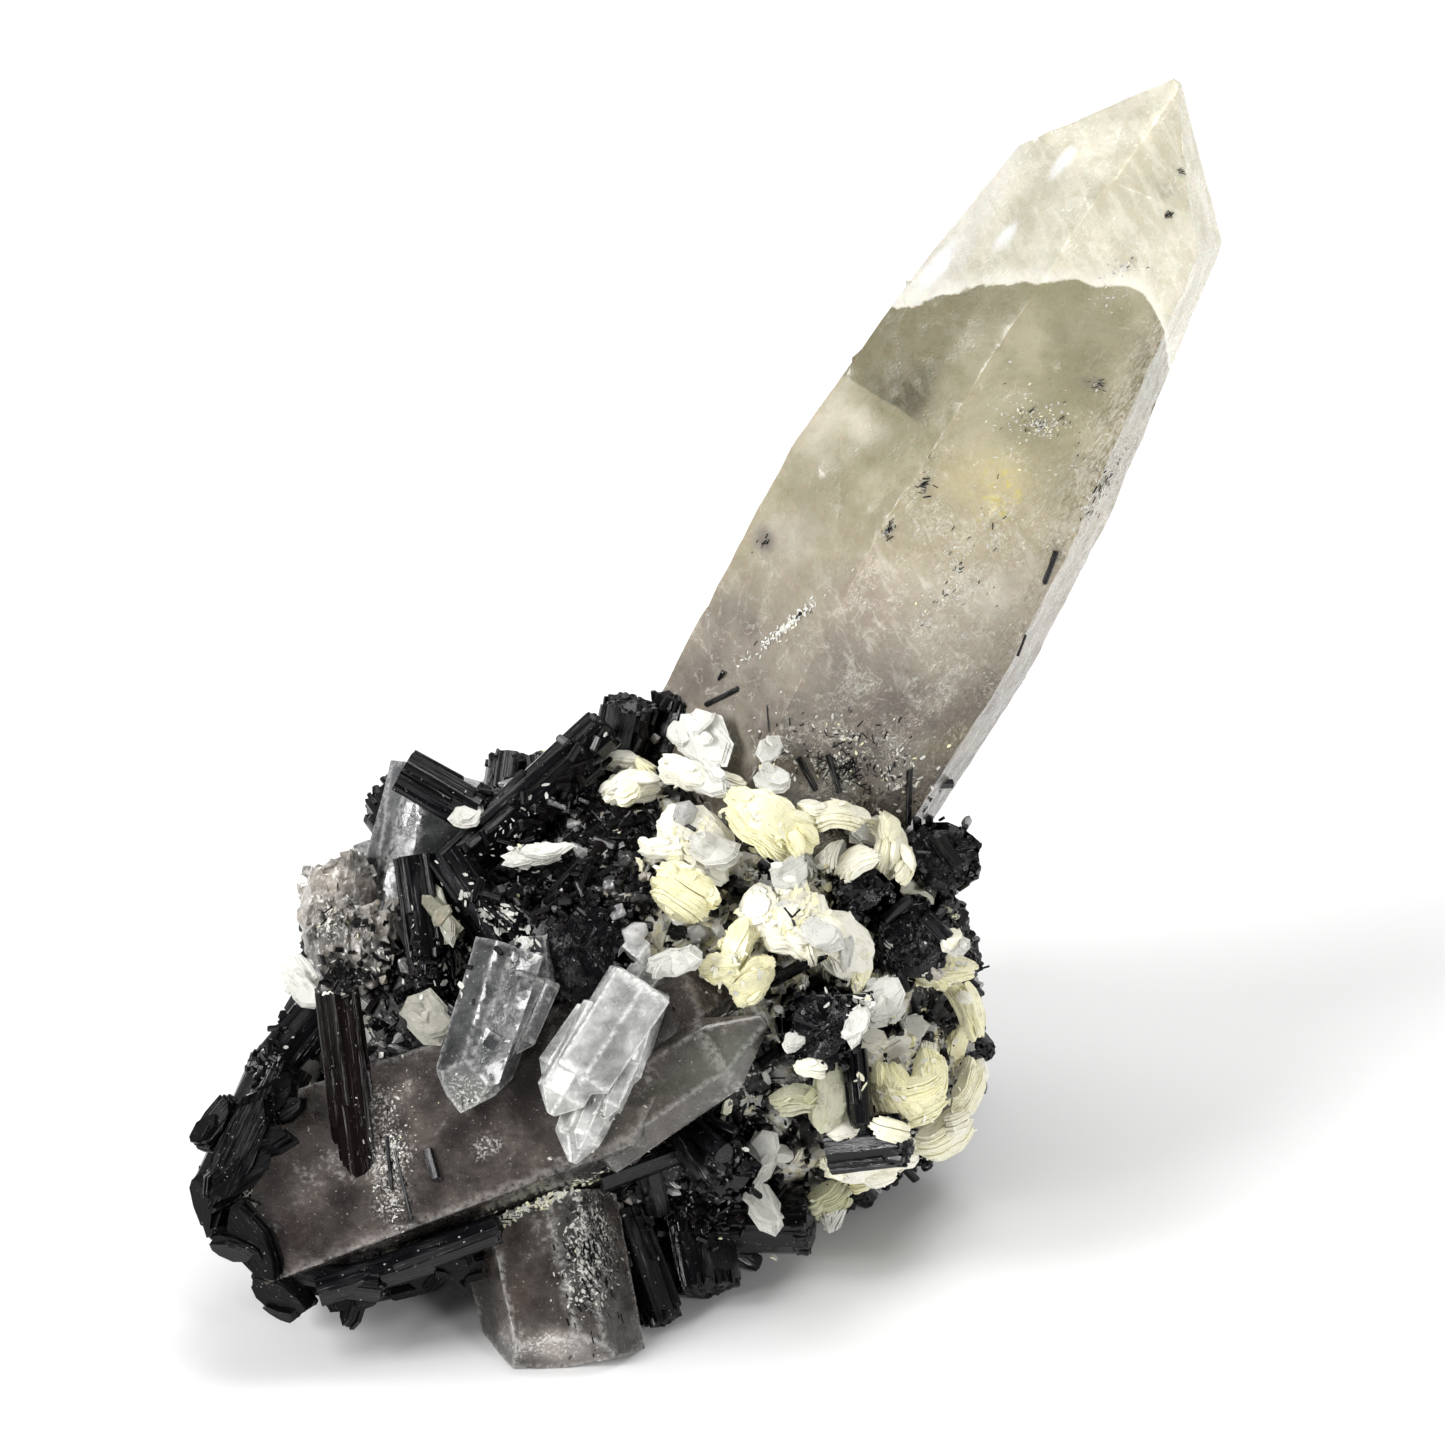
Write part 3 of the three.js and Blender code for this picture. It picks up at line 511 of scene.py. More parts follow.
quartzLook = {
    "lyingSmoky": {
        "glass": (0.36, 0.33, 0.31, 1), "veil": ((60, 54, 51), (108, 100, 95)), "share": (0.6, 0.88),
        "white": 0.2, "rim": 0.14, "shaded": True,
        "patches": [  # place on the face, half width and height, tilt, colour, strength, softness
            ((-23.6, 18.0), (3.6, 2.6), 20, (112, 105, 100), 0.8, 0.9),
            ((-21.6, 21.6), (2.6, 1.6), 10, (120, 113, 106), 0.8, 0.8),
            ((-24.8, 11.4), (4.6, 3.2), 10, (48, 38, 36), 0.9, 0.9),
            ((-20.2, 13.8), (2.4, 3.4), 0, (44, 37, 35), 0.85, 0.9),
            ((-17.4, 10.4), (3.4, 1.5), 20, (118, 107, 104), 0.7, 0.8),
            ((-10.4, 19.6), (4.6, 2.6), 20, (60, 53, 51), 0.8, 0.9),
            ((-7.8, 13.6), (3.6, 2.0), 20, (104, 92, 87), 0.7, 0.9),
            ((-3.0, 17.6), (3.0, 2.2), 20, (72, 65, 60), 0.7, 0.9),
            ((2.4, 19.6), (5.0, 3.4), 25, (112, 107, 99), 0.8, 1.0),
            ((8.4, 24.4), (6.5, 3.6), 25, (106, 106, 98), 0.95, 0.9),
            ((11.2, 25.8), (2.2, 3.2), -20, (114, 115, 107), 0.8, 0.9),
            ((8.0, 20.6), (4.0, 2.2), 35, (94, 92, 85), 0.9, 0.9),
            ((4.6, 22.4), (3.6, 0.8), 25, (78, 76, 68), 0.8, 0.7),
        ],
        "dust": [
            ((-16.6, 15.4), (2.2, 6.4)), ((-29.0, 13.0), (1.6, 5.0)), ((-17.6, 20.6), (1.4, 3.4)),
            ((-9.0, 18.0), (2.0, 1.4)),
        ],
    },
    "darkSmoky": {
        "glass": (0.34, 0.31, 0.29, 1), "veil": ((64, 58, 54), (94, 88, 83)), "share": (0.5, 0.8),
        "white": 0.16, "rim": 0.3,
        "patches": [
            ((-3.2, 1.8), (5.6, 2.2), -12, (178, 170, 164), 0.9, 0.9),
            ((-6.6, 6.2), (2.2, 3.2), -20, (92, 80, 75), 0.8, 0.9),
            ((-8.4, 9.8), (1.6, 3.0), -20, (122, 112, 106), 0.8, 0.9),
            ((-1.0, 9.0), (3.2, 6.4), 10, (84, 80, 78), 0.7, 0.7),
        ],
        "dust": [((-0.8, 9.4), (2.9, 7.0)), ((-5.0, 2.0), (5.0, 1.4))],
    },
    "clearQuartz": {
        "glass": (0.96, 0.97, 0.96, 1), "veil": ((178, 179, 176), (244, 244, 241)), "share": (0.35, 0.8),
        "white": 0.75, "rim": 0.6,
        "patches": [((-3.2, 20.6), (2.6, 2.2), 0, (214, 213, 206), 0.7, 0.8)], "dust": [],
    },
    "greyQuartz": {
        "glass": (0.36, 0.37, 0.38, 1), "veil": ((50, 51, 52), (108, 109, 109)), "share": (0.62, 0.92),
        "white": 0.22, "rim": 0.3,
        "patches": [
            ((-16.6, 46.2), (1.4, 4.6), -15, (92, 94, 96), 0.7, 0.9),
            ((-13.6, 40.0), (2.0, 3.6), -10, (58, 60, 62), 0.8, 0.9),
            ((-12.0, 46.0), (1.5, 2.6), -25, (124, 128, 130), 0.8, 0.8),
            ((-8.8, 25.8), (2.4, 2.8), -40, (70, 72, 74), 0.7, 1.0),
            ((-10.4, 21.8), (3.0, 2.6), -40, (118, 117, 110), 0.8, 0.9),
        ], "dust": [((-10.6, 21.6), (3.0, 3.0))],
    },
    "milkyQuartz": {
        "glass": (0.75, 0.71, 0.66, 1), "veil": ((88, 84, 80), (176, 168, 158)), "share": (0.7, 0.97),
        "white": 0.5, "rim": 0.2,
        "patches": [
            ((-21.6, 39.0), (2.2, 1.8), 0, (198, 186, 174), 0.8, 0.9),
            ((-22.4, 34.6), (2.4, 1.6), 0, (86, 86, 84), 0.6, 0.9),
            ((-21.0, 32.0), (2.0, 2.6), 0, (92, 92, 90), 0.6, 0.9),
        ], "dust": [((-21.6, 36.0), (3.4, 3.0))],
    },
}


def finishQuartz(name, bumpy=0.15):
    look = quartzLook[name]
    f = Finish(name)
    place = f.place()
    x, y = f.split(place)
    clouds = f.noise(place, 0.22, 5, 0.6, 0.3)
    fine = f.noise(place, 2.2, 4, 0.6)
    waver = f.noise(place, 0.5, 4, 0.6) - 0.5
    streaks = f.noise(f.stretched(place, (0.6, 1.0, 0.8)), 0.6, 5, 0.65, 0.4)
    speckle = f.noise(place, 4.0, 3, 0.65)
    rim = f.mark("rim") * f.between(fine, 0.3, 0.6)
    mottled = f.between(streaks, 0.3, 0.55, 0.8, 1.0)
    dark, pale = look["veil"]
    colour = f.coats(shade(*dark), [(f.between(streaks * 0.6 + clouds * 0.4, 0.36, 0.68), pale)])
    colour = f.coats(colour, f.patches(x, y, waver, look["patches"], mottled))
    dust = f.between(speckle, 0.66, 0.73)
    for at, reach in look["dust"]:
        dust = dust.above(f.patch(x, y, waver * 1.6, at, reach, 0, 0.8) * f.between(speckle, 0.52, 0.60))
    if look.get("shaded"):  # all but the front face fall away into the dark
        colour = f.coats(colour, [(f.between(f.mark("side"), 0.92, 0.7) * f.between(x, 4, -1) * 0.75, (36, 33, 31))])
    frost = f.between(clouds + (fine - 0.5) * 0.5, 0.60, 0.72)
    # Frost and dust are the stone's own; the pale rim along the edges is partly wear and partly a painted edge
    # highlight.
    colour = f.coats(colour, [
        (frost * look["white"], (222, 222, 218)),
        (dust * (look["white"] + 0.3), (238, 237, 232)),
        (rim * look["rim"], (240, 240, 236)),
    ])
    share = (f.between(clouds, 0.35, 0.68, *look["share"]) + dust * 0.5 + frost * 0.3 + rim * 0.5).below(1)
    roughness, normal = f.between(fine, 0.3, 0.7, 0.14, 0.36), f.bump(fine, bumpy, 0.0002)
    coat = {"Coat Weight": 0.6, "Coat Roughness": 0.05}
    return glassMixed(f, share, colour, look["glass"], roughness, 0.06, normal, coat)


def finishSchorl(name, gloss):
    f = Finish(name)
    grain = f.grain()
    stretched = f.stretched(grain, (1, 1, 0.06))
    lines = f.noise(stretched, 5.5, 3, 0.6)
    wide = f.noise(stretched, 1.6, 2)
    specks = f.between(f.noise(grain, 3.2, 3, 0.6), 0.68, 0.74)
    tint = f.mark("tint")
    colour = f.mixColours(f.between(wide, 0.4, 0.75), (0.0015, 0.0015, 0.002), (0.006, 0.006, 0.008))
    dull = f.between(f.noise(f.stretched(grain, (1, 1, 0.3)), 0.5, 4, 0.65), 0.5, 0.68)
    colour = f.mixColours(dull * 0.5, colour, (0.014, 0.014, 0.016))
    colour = f.mixColours(dull * f.between(lines, 0.62, 0.72) * 0.6, colour, (0.26, 0.26, 0.25))
    colour = f.mixColours(tint * 0.6, colour, (0.010, 0.006, 0.005))
    colour = f.mixColours(specks * 0.7, colour, (0.55, 0.55, 0.53))
    normal = f.bump(lines + wide * 0.6, 0.35, 0.00012)
    rough = f.between(f.noise(stretched, 2.6, 3), 0.35, 0.65, 0.06, 0.24)
    rough = rough + dull * 0.2
    values = {"Base Color": colour, "Roughness": rough, "Normal": normal, "IOR": 1.46, "Specular IOR Level": gloss}
    return f.done(f.surface(values))


micaLook = {
    "creamMica": {"pale": (247, 245, 231), "deep": (247, 242, 200), "rust": (232, 202, 134), "line": (176, 168, 126)},
    "greenMica": {"pale": (196, 195, 172), "deep": (176, 176, 136), "rust": (170, 160, 110), "line": (120, 120, 96)},
    "whiteMica": {"pale": (222, 221, 214), "deep": (210, 209, 201), "rust": (176, 173, 162), "line": (120, 120, 116)},
    "greyMica": {"pale": (172, 170, 158), "deep": (128, 126, 108), "rust": (172, 138, 104), "line": (88, 86, 76)},
}


def finishMica(name):
    look = micaLook[name]
    f = Finish(name)
    grain, place = f.grain(), f.place()
    layers = f.noise(f.stretched(grain, (0.35, 0.35, 6)), 1.6, 3, 0.6)
    fibres = f.noise(f.stretched(grain, (0.5, 5, 1)), 1.6, 3, 0.6)
    blotches = f.noise(place, 0.5, 4, 0.6)
    fine = f.noise(place, 3.0, 4, 0.65)
    tint = f.mark("tint")
    stain = f.between(f.noise(place, 0.42, 5, 0.7), 0.58, 0.74) * f.between(tint, 0.4, 1.0)
    colour = f.coats(shade(*look["pale"]), [
        (f.between(blotches * 0.5 + tint * 0.8, 0.35, 0.95), look["deep"]),
        (f.between(layers * 0.5 + fibres * 0.5, 0.5, 0.36) * 0.5, look["line"]),
        (stain * 0.45, look["rust"]),
        (f.between(fine, 0.58, 0.72) * 0.4, (246, 244, 236)),
    ])
    normal = f.bump(layers * 0.5 + fibres * 0.3 + fine * 0.3, 0.5, 0.00022)
    roughness = f.between(fine, 0.3, 0.7, 0.2, 0.48)
    return f.done(f.surface({"Base Color": colour, "Roughness": roughness, "Normal": normal, "IOR": 1.58}))


def finishGrains():
    f = Finish("whiteGrains")
    place = f.place()
    tint = f.mark("tint")
    tones = [(0.80, 0.80, 0.79), (0.55, 0.54, 0.52), (0.62, 0.55, 0.44), (0.30, 0.29, 0.30)]
    colour = f.ramp(tint, list(zip((0.0, 0.5, 0.8, 1.0), tones)))
    colour = f.mixColours(f.between(f.noise(place, 2.5, 3), 0.4, 0.7) * 0.5, colour, (0.9, 0.9, 0.88))
    values = {"Base Color": colour, "Roughness": 0.22, "Transmission Weight": 0.35, "IOR": quartzIndex}
    return f.done(f.surface(values))


def finishMatrix():
    # Black among the schorl, white and cream where mica fills the ground on the right of the face.
    f = Finish("matrix")
    place = f.place()
    lumps = f.noise(place, 0.7, 5, 0.65)
    cells = f.cells(place, 1.5)
    specks = f.between(f.noise(place, 2.4, 4, 0.7), 0.58, 0.66)
    colour = f.mixColours(f.between(lumps, 0.35, 0.7), (0.008, 0.008, 0.009), (0.05, 0.047, 0.045))
    colour = f.mixColours(specks * 0.7, colour, (0.6, 0.59, 0.56))
    pale = f.between(f.mark("pale") + (lumps - 0.5) * 0.4, 0.25, 0.55)
    mixed = f.between(lumps * 0.6 + cells * 0.4, 0.30, 0.42)
    cream = f.mixColours(f.between(f.noise(place, 1.1, 3), 0.4, 0.6), shade(248, 247, 242), shade(238, 231, 198))
    colour = f.mixColours(pale * mixed * 0.9, colour, cream)
    normal = f.bump(cells * 0.6 + lumps, 0.7, 0.0005)
    roughness = f.between(lumps, 0.3, 0.7, 0.3, 0.75)
    return f.done(f.surface({"Base Color": colour, "Roughness": roughness, "Normal": normal}))


finishes = {
    "smoky_point": finishPoint(),
    "dark_smoky": finishQuartz("darkSmoky"),
    "lying_smoky": finishQuartz("lyingSmoky"),
    "clear_quartz": finishQuartz("clearQuartz"),
    "grey_quartz": finishQuartz("greyQuartz"),
    "milky_quartz": finishQuartz("milkyQuartz", 0.6),
    "schorl": finishSchorl("schorl", 0.4),
    "dull_schorl": finishSchorl("dullSchorl", 0.16),
    "cream_mica": finishMica("creamMica"),
    "green_mica": finishMica("greenMica"),
    "white_mica": finishMica("whiteMica"),
    "grey_mica": finishMica("greyMica"),
    "grains": finishGrains(),
    "matrix": finishMatrix(),
}
print("finishes ready")


# Quartz: the solids' own faces, with worn edges, then cut fine enough to carry growth ripples.
quartzWear = {
    "smoky_quartz_point": {"slot": "smoky_point", "edge": 0.05, "step": 0.9, "ripple": 0.14, "fine": 0.055},
    "lying_smoky_quartz": {
        "slot": "dark_smoky", "finish": "lying_smoky", "edge": 0.14, "step": 0.9, "ripple": 0.07, "fine": 0.02,
        "side": (-0.130, 0.274, 0.953),
    },
    "bottom_smoky_quartz": {"slot": "dark_smoky", "edge": 0.16, "step": 0.7, "ripple": 0.10, "fine": 0.05},
    "upper_smoky_quartz": {
        "slot": "clear_quartz", "finish": "grey_quartz", "edge": 0.14, "step": 0.7, "ripple": 0.08, "fine": 0.04,
    },
    "milky_quartz": {
        "slot": "milky_quartz", "edge": 0.3, "step": 0.4, "ripple": 0.7, "fine": 0.28, "barrel": 0.42,
    },
    "clear_quartz_middle": {
        "slot": "clear_quartz", "finish": "grey_quartz", "edge": 0.14, "step": 0.45, "ripple": 0.06, "fine": 0.03,
    },
    "small_quartz_stub": {"slot": "clear_quartz", "edge": 0.1, "step": 0.5, "ripple": 0.05, "fine": 0.02},
    "grey_quartz": {"slot": "milky_quartz", "edge": 0.2, "step": 0.4, "ripple": 0.4, "fine": 0.2, "barrel": 0.3},
    "back_quartz_tall": {"slot": "dark_smoky", "edge": 0.16, "step": 0.8, "ripple": 0.08, "fine": 0.03},
    "back_quartz_short": {"slot": "clear_quartz", "edge": 0.14, "step": 0.7, "ripple": 0.08, "fine": 0.03},
}


# Sharp in degrees; how far apart spots on an edge are, how far the pale rim of wear and painted edge highlight
# reaches in edge widths, what is merged.
edgeRules = {"sharp": 8, "spotGap": 0.15, "reach": 2.2, "merge": 0.02}


def cutIntoStrips(piece, step):
    # Cuts the faces by planes across each direction, so that they are even and small.
    low = Vector([min(v.co[i] for v in piece.data.vertices) for i in range(3)])
    high = Vector([max(v.co[i] for v in piece.data.vertices) for i in range(3)])
    startEditing(piece)
    for axis in range(3):
        across = [0, 0, 0]
        across[axis] = 1
        count = int((high[axis] - low[axis]) / step)
        for i in range(1, count + 1):
            spot = low.copy()
            spot[axis] = low[axis] + (high[axis] - low[axis]) * i / (count + 1)
            cutAcross(spot, across)
    bpy.ops.mesh.select_all(action="SELECT")
    bpy.ops.mesh.quads_convert_to_tris()
    bpy.ops.mesh.remove_doubles(threshold=edgeRules["merge"])
    stopEditing()


def ripple(piece, broad, fine):
    for vertex in piece.data.vertices:
        spot = vertex.co
        lift = broad * fractal(spot * 0.35, 2) + fine * fractal(spot * 1.7, 3)
        vertex.co = spot + vertex.normal * (lift - broad * 0.4)


def roundEnds(piece, share):
    # Draws both ends in across the face, as on a half dissolved crystal.
    xs, ys = ([vertex.co[axis] for vertex in piece.data.vertices] for axis in (0, 1))
    middle = (max(xs) + min(xs)) / 2, (max(ys) + min(ys)) / 2
    half = (max(ys) - min(ys)) / 2
    for vertex in piece.data.vertices:
        out = (vertex.co.y - middle[1]) / half
        vertex.co.x = middle[0] + (vertex.co.x - middle[0]) * (1 - share * abs(out) ** 2.5)


def sharpEdgeTree(piece):
    # Spots along the edges that are selected, to find how near a point is to one.
    points, spots = piece.data.vertices, []
    for edge in piece.data.edges:
        if edge.select:
            a, b = (points[i].co for i in edge.vertices)
            steps = max(1, int((b - a).length / edgeRules["spotGap"]))
            spots += [a.lerp(b, i / steps) for i in range(steps + 1)]
    tree = KDTree(len(spots))
    for i, spot in enumerate(spots):
        tree.insert(spot, i)
    tree.balance()
    return tree


def makeQuartz(node, wear):
    piece = nodeCopy(node, node + "_crystal")
    startEditing(piece)
    bpy.ops.mesh.select_all(action="DESELECT")
    bpy.ops.mesh.edges_select_sharp(sharpness=math.radians(edgeRules["sharp"]))
    stopEditing()
    edges = sharpEdgeTree(piece)
    bpy.ops.object.mode_set(mode="EDIT")
    bpy.ops.mesh.bevel(offset=wear["edge"], segments=2, profile=0.6, clamp_overlap=True)
    stopEditing()
    cutIntoStrips(piece, wear["step"])
    points, towards = piece.data.vertices, Vector(wear.get("side", (1, 0, 0)))
    reach = wear["edge"] * edgeRules["reach"]
    markPoints(piece, "rim", [max(0, 1 - edges.find(point.co)[2] / reach) for point in points])
    markPoints(piece, "side", [point.normal.dot(towards) for point in points])
    roundEnds(piece, wear.get("barrel", 0))
    ripple(piece, wear["ripple"], wear["fine"])
    points.foreach_set("co", toRow(np.array([point.co for point in points])).ravel())
    return finishPiece(piece, wear["slot"], smooth=28, replaced=[node], finish=wear.get("finish"))


for node, wear in quartzWear.items():
    made = makeQuartz(node, wear)
    print("quartz", node, len(made.data.polygons))


# Schorl: a ridged, rounded three-sided prism with a low, rough end.
def modelPrism(seed):
    draw, sides, rings = random.Random(seed), 26, 5
    piece = addCircle(sides)
    widths = [draw.choice((0.35, 0.6, 1, 2.4)) for _ in range(sides)]  # narrow ridges between broad sides
    angle = 0
    for vertex, width in zip(piece.data.vertices, widths):
        angle -= math.tau * width / sum(widths)
        fromCorner = (angle % (math.tau / 3)) - math.tau / 6
        reach = 0.6 + 0.4 * 0.5 / math.cos(fromCorner)
        if width < 1:
            reach *= draw.uniform(0.93, 0.99)
        vertex.co = (math.cos(angle) * reach, math.sin(angle) * reach, 0)
    startEditing(piece)
    for ring in range(rings):
        raiseFace(1 / rings)
    for smaller, higher in ((0.95, 0.2), (0.78, 0.3), (0.7, 0.25), (0.5, 0.2)):
        raiseFace(higher)
        narrow(smaller)
    bpy.ops.mesh.poke()
    faceOutwards()
    stopEditing()
    for vertex in piece.data.vertices:
        if vertex.co.z > 1.02:
            vertex.co.z += draw.uniform(-0.35, 0.35)
        elif vertex.co.z > 0.01:
            vertex.co.xy *= draw.uniform(0.975, 1.0)
    return Shape(piece)


def modelSmallPrism():
    piece = addCircle(6)
    for i, vertex in enumerate(piece.data.vertices):
        vertex.co *= 1 if i % 2 else 0.82
    startEditing(piece)
    raiseFace(1)
    bpy.ops.mesh.inset(thickness=0.25)
    bpy.ops.transform.translate(value=(0, 0, 0.35))
    faceOutwards()
    stopEditing()
    return Shape(piece)


def modelGrain(seed):
    # A broken quartz grain with flat sides.
    draw = random.Random(seed)
    bpy.ops.object.select_all(action="DESELECT")
    bpy.ops.mesh.primitive_cube_add(size=1.4)
    piece = bpy.context.object
    startEditing(piece)
    cutAcross((0.35, 0.3, 0.3), (0.6, 0.5, 0.62), use_fill=True, clear_outer=True)
    cutAcross((-0.4, 0.2, -0.3), (-0.7, 0.4, -0.5), use_fill=True, clear_outer=True)
    faceOutwards()
    stopEditing()
    for vertex in piece.data.vertices:
        vertex.co += Vector([draw.uniform(-0.16, 0.16) for _ in range(3)])
    return Shape(piece)


def modelSmallQuartz(seed):
    # A small six-sided crystal with an uneven point.
    draw = random.Random(seed)
    piece = addCircle(6)
    for vertex in piece.data.vertices:
        vertex.co.xy *= draw.uniform(0.85, 1.1)
    startEditing(piece)
    raiseFace(1)
    narrow(0.92)
    raiseFace(1, 0.12, 0.05)
    narrow(0.16)
    faceOutwards()
    bpy.ops.mesh.inset(thickness=0.1, depth=0.025, use_individual=True)  # a worn rim round every face
    stopEditing()
    worn = np.array([not vertex.select for vertex in piece.data.vertices], float)
    shape = Shape(piece)
    shape.rim = worn
    return shape


def modelShard(seed):
    # A thin broken sliver of mica, a little bent.
    draw = random.Random(seed)
    piece = addCircle(6)
    for vertex in piece.data.vertices:
        vertex.co.xy *= draw.uniform(0.65, 1.15)
    startEditing(piece)
    raiseFace(0.16)
    cutAcross((0, 0, 0), (1, 0.1, 0))
    faceOutwards()
    stopEditing()
    for vertex in piece.data.vertices:
        vertex.co.z += 0.22 * vertex.co.x ** 2
    return Shape(piece)


def modelPlate(seed):
    # A flat broken plate in three layers, each broken back a little from the one below.
    draw = random.Random(seed)
    piece = addCircle(8)
    for vertex in piece.data.vertices:
        vertex.co.xy *= draw.uniform(0.76, 1.12)
    startEditing(piece)
    for layer in range(3):
        raiseFace(0.34)
        if layer < 2:
            bpy.ops.mesh.inset(thickness=draw.uniform(0.03, 0.12))
            bpy.ops.transform.translate(value=(draw.uniform(-0.03, 0.03), draw.uniform(-0.03, 0.03), 0))
    faceOutwards()
    stopEditing()
    return Shape(piece)


def modelLeaf(cutsAlong, cutsAcross):
    # One leaf of a mica book, a unit long and wide, from z = 0 to 1.
    bpy.ops.object.select_all(action="DESELECT")
    bpy.ops.mesh.primitive_grid_add(x_subdivisions=cutsAlong, y_subdivisions=cutsAcross, size=1)
    piece = bpy.context.object
    for vertex in piece.data.vertices:
        taper = max(0.0, abs(vertex.co.x) - 0.2) / 0.3
        vertex.co.y *= 1 - 0.5 * taper ** 1.6
    startEditing(piece)
    raiseFace(1)
    faceOutwards()
    stopEditing()
    return Shape(piece)


prisms = [modelPrism(seed) for seed in (1, 2, 3, 4, 5)]
smallPrism = modelSmallPrism()
grains = [modelGrain(seed) for seed in (1, 2, 3)]
shards = [modelShard(seed) for seed in (1, 2, 3, 4)]
smallQuartz = [modelSmallQuartz(seed) for seed in (1, 2, 3)]
plates = [modelPlate(seed) for seed in (1, 2, 3, 4)]
broadLeaf, edgeLeaf, smallLeaf = modelLeaf(11, 7), modelLeaf(13, 4), modelLeaf(5, 3)


def prismPoints(shape, radius, length, end=0.25):
    points = shape.points.copy()
    tip = points[:, 2] > 1
    points[:, :2] *= radius
    points[:, 2] = np.where(tip, length + (points[:, 2] - 1) * radius * max(end, 0.08), points[:, 2] * length)
    return points


def smallPrismPoints(radius, length):
    points = smallPrism.points * np.array((radius, radius, 1))
    points[:, 2] = np.where(points[:, 2] > 1, length + (points[:, 2] - 1) * radius, points[:, 2] * length)
    return points


def quartzBetween(start, end, radius, flat, spin, draw, point=0.8):
    # A pointed crystal from one spot to another, flattened towards the face.
    # Point is the length of its tip, in half widths.
    shape, long = draw.choice(smallQuartz), (Vector(end) - Vector(start)).length
    points = shape.points.copy()
    tip = points[:, 2] > 1.06  # above the rim of the sides
    points[:, 2] = np.where(tip, long + (points[:, 2] - 2) * radius * point, points[:, 2] * (long - radius * point))
    local = points * np.array((radius, radius, 1))
    turned = placed(local, (0, 0, 0), Vector(end) - Vector(start), spin + draw.uniform(-12, 12))
    turned[:, 2] *= flat
    return shape, turned + np.array(start), local, 0.3


# The clear group that points down and left: from, to, half width, flatness, turn, length of its point.
clearGroup = [
    ((3.2, 31.0, 4.8), (-2.4, 22.4, 5.6), 3.0, 0.85, 30, 0.5),
    ((4.0, 30.4, 3.0), (1.6, 22.6, 4.0), 1.7, 1.2, 10, 0.8),
    ((0.8, 28.6, 4.6), (-3.9, 20.6, 5.4), 2.5, 0.9, 30, 0.7),
    ((1.2, 26.2, 3.6), (-2.4, 16.8, 4.6), 2.2, 0.9, 15, 0.9),
    ((-0.4, 28.4, 3.4), (-4.4, 23.0, 4.2), 1.6, 0.9, 0, 0.9),
    ((3.6, 31.8, 2.4), (0.4, 27.6, 6.2), 1.6, 0.9, 40, 0.7),
    ((0.4, 22.6, 4.6), (-1.6, 17.8, 6.0), 1.1, 0.9, 20, 1.0),
    ((2.4, 24.8, 4.6), (0.4, 20.2, 5.6), 1.2, 0.9, 50, 1.0),
]
draw = random.Random(19)
copies = [quartzBetween(*each[:5], draw, each[5]) for each in clearGroup]
joinCopies("clear_quartz_front_crystals", copies, "clear_quartz", smooth=20, replaced=["clear_quartz_front"])

